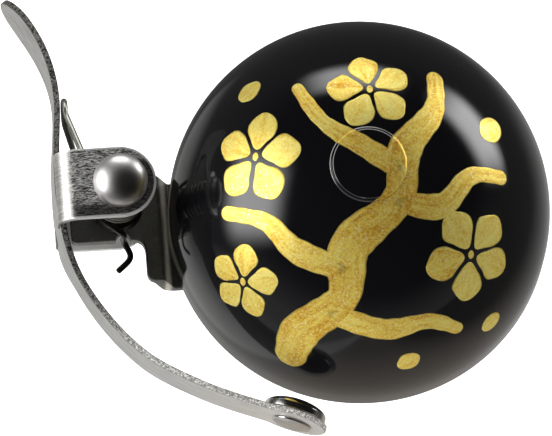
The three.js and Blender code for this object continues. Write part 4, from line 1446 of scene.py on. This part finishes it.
# Bracket
@dataclass
class Bracket:
    """The stamped strip: base under the dome, joggle, side plate and tongue with two spring notches."""

    thickness: float = 1.8
    half: float = 7.8
    base_top: float = 17.7
    tongue_top: float = 23.2
    bend_x: float = -28.7
    joggle_deg: float = 72.0
    bend_r: float = 0.5
    bend_back_r: float = 1.2
    plate_x: float = -31.0
    plate_corner: float = 1.4
    fillet: float = 2.0
    corner: float = 1.0
    end_x: float = -41.55
    notch_r: float = 1.1
    rivet_hole: float = 2.15
    edge: float = 0.22
    end_flat: float = 0.3
    row_count: int = 15
    hole_z: tuple = (19.0, 25.0)
    hole_edge: float = 0.1

    def faces(self) -> tuple[Array, Array]:
        """The upper and lower faces seen from the side, each as rows of (x, z) from the end to the base.

        Returns:
            Two lines.
        """
        slope = math.radians(self.joggle_deg)
        run = (self.tongue_top - self.base_top) / math.tan(slope)
        lines = []
        for sunk, radii in ((0, (self.bend_back_r, self.bend_r)), (self.thickness, (self.bend_r,) * 2)):
            tilt = sunk * math.tan(slope / 2)
            high, low = self.tongue_top - sunk, self.base_top - sunk
            bends = [(self.bend_x - tilt, high, radii[0]), (self.bend_x + run - tilt, low, radii[1] + sunk)]
            lines.append(rounded([(self.end_x - 1, high, 0), *bends, (self.half + 1, low, 0)], 12))
        return lines[0], lines[1]

    def sides(self) -> tuple[Array, Array]:
        """The two long edges from the base's end to the tongue's end, point for point abreast.

        Returns:
            The +Y edge and the -Y edge, points x 2.
        """
        h, bend_start = self.half, self.plate_x + self.plate_corner
        tongue_y = 2 * PIVOT[1] - h
        end = (self.end_x, (h + tongue_y) / 2, 0)
        end_r = h - self.end_flat
        cos, sin = arc(0, 90, 24)
        round_end = np.stack([h - end_r + end_r * cos, h * sin], -1)
        x = np.linspace(round_end[-1, 0], bend_start, 230)[1:]
        shared = np.concatenate([round_end, np.stack([x, np.full_like(x, h)], -1)])
        spring = Spring()
        upper = rounded([(bend_start, h, 0), (self.end_x, h, self.corner), end])
        plate = [(self.plate_x, -h, self.plate_corner), (self.plate_x, tongue_y, self.fillet)]
        lower = rounded([(bend_start, -h, 0), *plate, (self.end_x, tongue_y, self.corner), end], 10)
        notches = np.array(PIVOT) + np.array([spring.tail(), spring.hook[0]])
        plus = np.concatenate([shared, self._notched(upper, notches[0], 1)[1:]])
        minus = np.concatenate([shared * np.array([1, -1]), self._notched(lower, notches[1], -1)[1:]])
        return plus, minus

    def _notched(self, line: Array, centre: Array, side: int, count: int = 150) -> Array:
        """Sets an edge in even steps and pushes it in round a notch, by the half circle's depth at each x.

        Args:
            line: the edge.
            centre: the notch's centre.
            side: +1 for the +Y edge, -1 for the other.
            count: points of the result.

        Returns:
            The notched edge.
        """
        fine = resampled(line, 0.02)
        x, y = sample(fine, np.arange(len(fine)), np.linspace(0, len(fine) - 1, count)).T
        off = np.clip(np.abs(x - centre[0]) / self.notch_r, 0, 1)
        cut = np.where(off < 1, centre[1] - side * self.notch_r * np.sqrt(1 - off**2), y)
        pushed = np.minimum(y, cut) if side > 0 else np.maximum(y, cut)
        return np.column_stack([x, np.where(np.abs(y - centre[1]) > 3 * self.notch_r, y, pushed)])

    def solid(self) -> Surface:
        """The stamping. The closed outline is drawn in by the edge's insets and takes the face's height at
        each x; both faces are filled by straight rows between the two long edges.

        Returns:
            The closed surface.
        """
        plus, minus = self.sides()
        loop = np.concatenate([minus, plus[-2:0:-1]])[::-1]
        normal = inward(loop)
        ahead = np.roll(loop, -1, 0)
        normal = normal * np.sign(np.sum(loop[:, 0] * ahead[:, 1] - loop[:, 1] * ahead[:, 0]))
        inset, depth = quarter(self.edge, 5)
        order = (loop + self.edge * normal)[::-1]
        low_edge = order[: len(plus)]
        high_edge = np.concatenate([order[:1], order[: len(plus) - 2 : -1]])
        share = np.linspace(0, 1, self.row_count)[None, :, None]
        rows = low_edge[:, None] * (1 - share) + high_edge[:, None] * share
        flat = loop[None] + inset[:, None, None] * normal[None]
        rings, fills = [], []
        for face, sign in zip(self.faces(), (-1, 1)):
            z, fill = (np.interp(part[..., 0], face[:, 0], face[:, 1])[..., None] for part in (flat, rows))
            rings.append(np.concatenate([flat, z + sign * depth[:, None, None]], -1))
            fills.append(patch(np.concatenate([rows, fill], -1)))
        return joined([skin(np.concatenate([rings[0], rings[1][::-1]])), *fills])

    def build(self, shop: Workshop) -> None:
        """Makes and dresses the bracket with its rivet hole.

        Args:
            shop: the finishes.
        """
        plate = shop.add("bracket_plate", self.solid(), Slot.DARK, Body.BASE, "bracket", sharp_deg=40)
        hole = np.array(PIVOT) + self.rivet_hole * spokes(48)[:, :2]
        carved(plate, raised(hole, *self.hole_z, self.hole_edge))


# Studio
@dataclass(frozen=True)
class Panel:
    """A soft panel: the place of its mirror image in shares of the dome's radius, and its size."""

    name: str
    dx: float
    dy: float
    width: float
    height: float
    radiance: float
    soft: float
    far: float = 420.0
    mirrored: bool = True


@dataclass
class Studio:
    """White floor, soft lights and the photograph's camera."""

    frame_mm: float = 79.48
    aim_right: float = -11.95
    aim_up: float = -0.82
    lens: float = 800.0
    sensor: float = 36.0
    clip_m: float = 20.0
    floor_z: float = -26.0
    floor_thick: float = 10.0
    floor_half: float = 2500.0
    floor_white: float = 0.8
    floor_glow: float = 0.36
    floor_left: float = 0.34
    floor_dim: float = 0.08
    near_lean: float = 0.3
    near_back: tuple = (0.0, 60.0)
    near_right: tuple = (30.0, 130.0)
    near_front: tuple = (60.0, 260.0, 0.0, 0.4)
    beside_x: tuple = (-50.0, -41.0)
    beside_far: tuple = (70.0, 110.0)
    beside_y: tuple = (50.0, 90.0)
    warm_y: tuple = (0.0, 60.0)
    warm_x: tuple = (-45.0, -20.0)
    sky_front: float = 0.34
    sky_back: float = 0.08
    sky_top: float = 0.004
    sky_y: tuple = (-0.5, 0.1)
    sky_z: tuple = (-0.1, 0.45)
    sky_soft: float = 0.7
    panels: tuple = (
        Panel("panel_top", -0.04, 0.69, 420, 200, 5.0, 0.42),
        Panel("panel_right", 0.585, 0.42, 440, 240, 7.2, 0.42),
        Panel("panel_left", -0.54, 0.08, 460, 420, 6.5, 0.4),
        Panel("panel_front", -0.1, -0.5, 600, 500, 2.6, 0.3, mirrored=False),
    )

    @staticmethod
    def stand(name: str, data: ID, axes: tuple, offset: Array) -> Object:
        """Sets up a camera or a lamp by its three axes and its place, counted from the dome's middle.

        Args:
            name: of the object.
            data: its camera or lamp.
            axes: right, up and back.
            offset: in millimetres.

        Returns:
            The object.
        """
        obj = bpy.data.objects.new(name, data)
        bpy.context.scene.collection.objects.link(obj)
        columns = np.column_stack([*axes, (np.array([0, 0, CENTRE_Z]) + offset) * MM])
        obj.matrix_world = Matrix([*columns.tolist(), [0, 0, 0, 1]])
        return obj

    def camera(self) -> None:
        """A long lens at the photograph's angle."""
        data = bpy.data.cameras.new("camera")
        data.lens, data.sensor_width, data.sensor_fit = self.lens, self.sensor, "HORIZONTAL"
        data.clip_end = self.clip_m
        away = BACK * self.lens * self.frame_mm / self.sensor
        offset = RIGHT * self.aim_right + UP * self.aim_up + away
        bpy.context.scene.camera = self.stand("camera", data, (RIGHT, UP, BACK), offset)

    def floor(self) -> None:
        """A pale floor that keeps the shadow. It is white to the camera, and reflections see it brightest in
        front of the bell and beside the lever, fading to the right, to the back and far off."""
        half = self.floor_half
        square = np.array([[-half, -half], [half, -half], [half, half], [-half, half]])
        obj = piece("floor", raised(square, self.floor_z - self.floor_thick, self.floor_z, 1.0), 40)
        s = Shader.named("floor")
        where = s.place()
        x, y, _ = s.split(where)
        near = (1 - (y - x * self.near_lean).span(*self.near_back)) * (1 - x.span(*self.near_right))
        near = near * (1 - (-1 * y).span(*self.near_front))
        beside = (1 - x.span(*self.beside_x)) * (1 - (-1 * x).span(*self.beside_far))
        beside = beside * (1 - y.span(*self.beside_y))
        glow = near * self.floor_glow + beside * self.floor_left + self.floor_dim
        warmth = (-1 * y).span(*self.warm_y) * x.span(*self.warm_x)
        warm = s.blend(warmth, (1.0, 1.0, 0.98), (1.0, 0.9, 0.78))
        colour = s.blend(s.noise(where, 0.02, 2), (0.9, 0.9, 0.9), (0.93, 0.93, 0.93))
        white = s.node("ShaderNodeLightPath", out="Is Camera Ray") * self.floor_white
        s.finish(Base_Color=colour, Roughness=0.9, Emission_Color=(1.0, 1.0, 1.0), Emission_Strength=white)
        plain = Value(s, s.tree.nodes["Principled BSDF"].outputs[0])
        mirrored = s.node("ShaderNodeEmission", None, {"Strength": glow, "Color": warm})
        glossy = s.node("ShaderNodeLightPath", out="Is Glossy Ray")
        mix = s.node("ShaderNodeMixShader", None, {0: glossy, 1: plain, 2: mirrored})
        s.feed(s.tree.nodes["Material Output"].inputs[0], mix)
        obj.data.materials.append(s.owner)

    def panel(self, panel: Panel) -> None:
        """A soft-edged panel whose mirror image in the dome is at a place of the picture.

        The dome's normal there turns the view's direction into the panel's direction.

        Args:
            panel: its place, size and brightness.
        """
        n = panel.dx * RIGHT + panel.dy * UP + math.sqrt(1 - panel.dx**2 - panel.dy**2) * BACK
        way = 2 * (n @ BACK) * n - BACK
        data = bpy.data.lights.new(panel.name, "AREA")
        data.shape, data.size, data.size_y = "RECTANGLE", panel.width * MM, panel.height * MM
        data.energy = panel.radiance * math.pi * data.size * data.size_y
        s = Shader(data)
        across, down, _ = s.split(s.node("ShaderNodeNewGeometry", out="Parametric"))
        share = 1.0
        for place in (across, down):
            for end in (0, 1):
                share = place.span(end, abs(end - panel.soft), ease="SMOOTHERSTEP") * share
        s.feed(s.tree.nodes["Emission"].inputs["Strength"], share)
        z = unit(way)
        x = unit(np.cross(BACK, z))
        self.stand(panel.name, data, (x, np.cross(z, x), z), way * panel.far).visible_glossy = panel.mirrored

    def world(self) -> None:
        """A surround: white to the camera, even for soft light, and for reflections dark overhead and pale
        towards the horizon in front."""
        bpy.context.scene.world = bpy.data.worlds.new("studio")
        s = Shader(bpy.context.scene.world)
        s.tree.nodes.clear()
        _, y, z = s.split(s.node("ShaderNodeTexCoord", out="Generated"))
        sky = y.span(*self.sky_y, self.sky_front, self.sky_back) * z.span(*self.sky_z, 1.0, 0.0)
        sky = sky + self.sky_top
        light = self.sky_soft + (sky - self.sky_soft) * s.node("ShaderNodeLightPath", out="Is Glossy Ray")
        seen = light + (1 - light) * s.node("ShaderNodeLightPath", out="Is Camera Ray")
        out = s.tree.nodes.new("ShaderNodeOutputWorld")
        s.feed(out.inputs[0], s.node("ShaderNodeBackground", None, {"Strength": seen}))

    def build(self) -> None:
        """Sets up the whole studio."""
        self.camera()
        self.floor()
        self.world()
        for panel in self.panels:
            self.panel(panel)
        bpy.context.scene.view_settings.view_transform = "Standard"


def dress_nodes(shop: Workshop) -> None:
    """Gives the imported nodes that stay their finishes.

    Args:
        shop: the finishes.
    """
    plan = {
        Slot.ZINC: "dome_boss centre_post lock_washer mount_screw clamp_screw clamp_washer clamp_nut",
        Slot.DARK: "clamp_band",
        Slot.RUBBER: "bar_liner",
    }
    for slot, names in plan.items():
        for name in names.split():
            shop.dress(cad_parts[name], slot)


def main() -> None:
    """Builds the bell and its studio in order."""
    logging.basicConfig(level=logging.INFO, format="%(name)s: %(message)s")
    Studio().build()
    shop = Workshop()
    dome = Dome()
    for part in (dome, Branch(dome), Lever(), Pivot(), Spring(), Bracket()):
        part.build(shop)
    dress_nodes(shop)


if __name__ == "__main__":
    main()
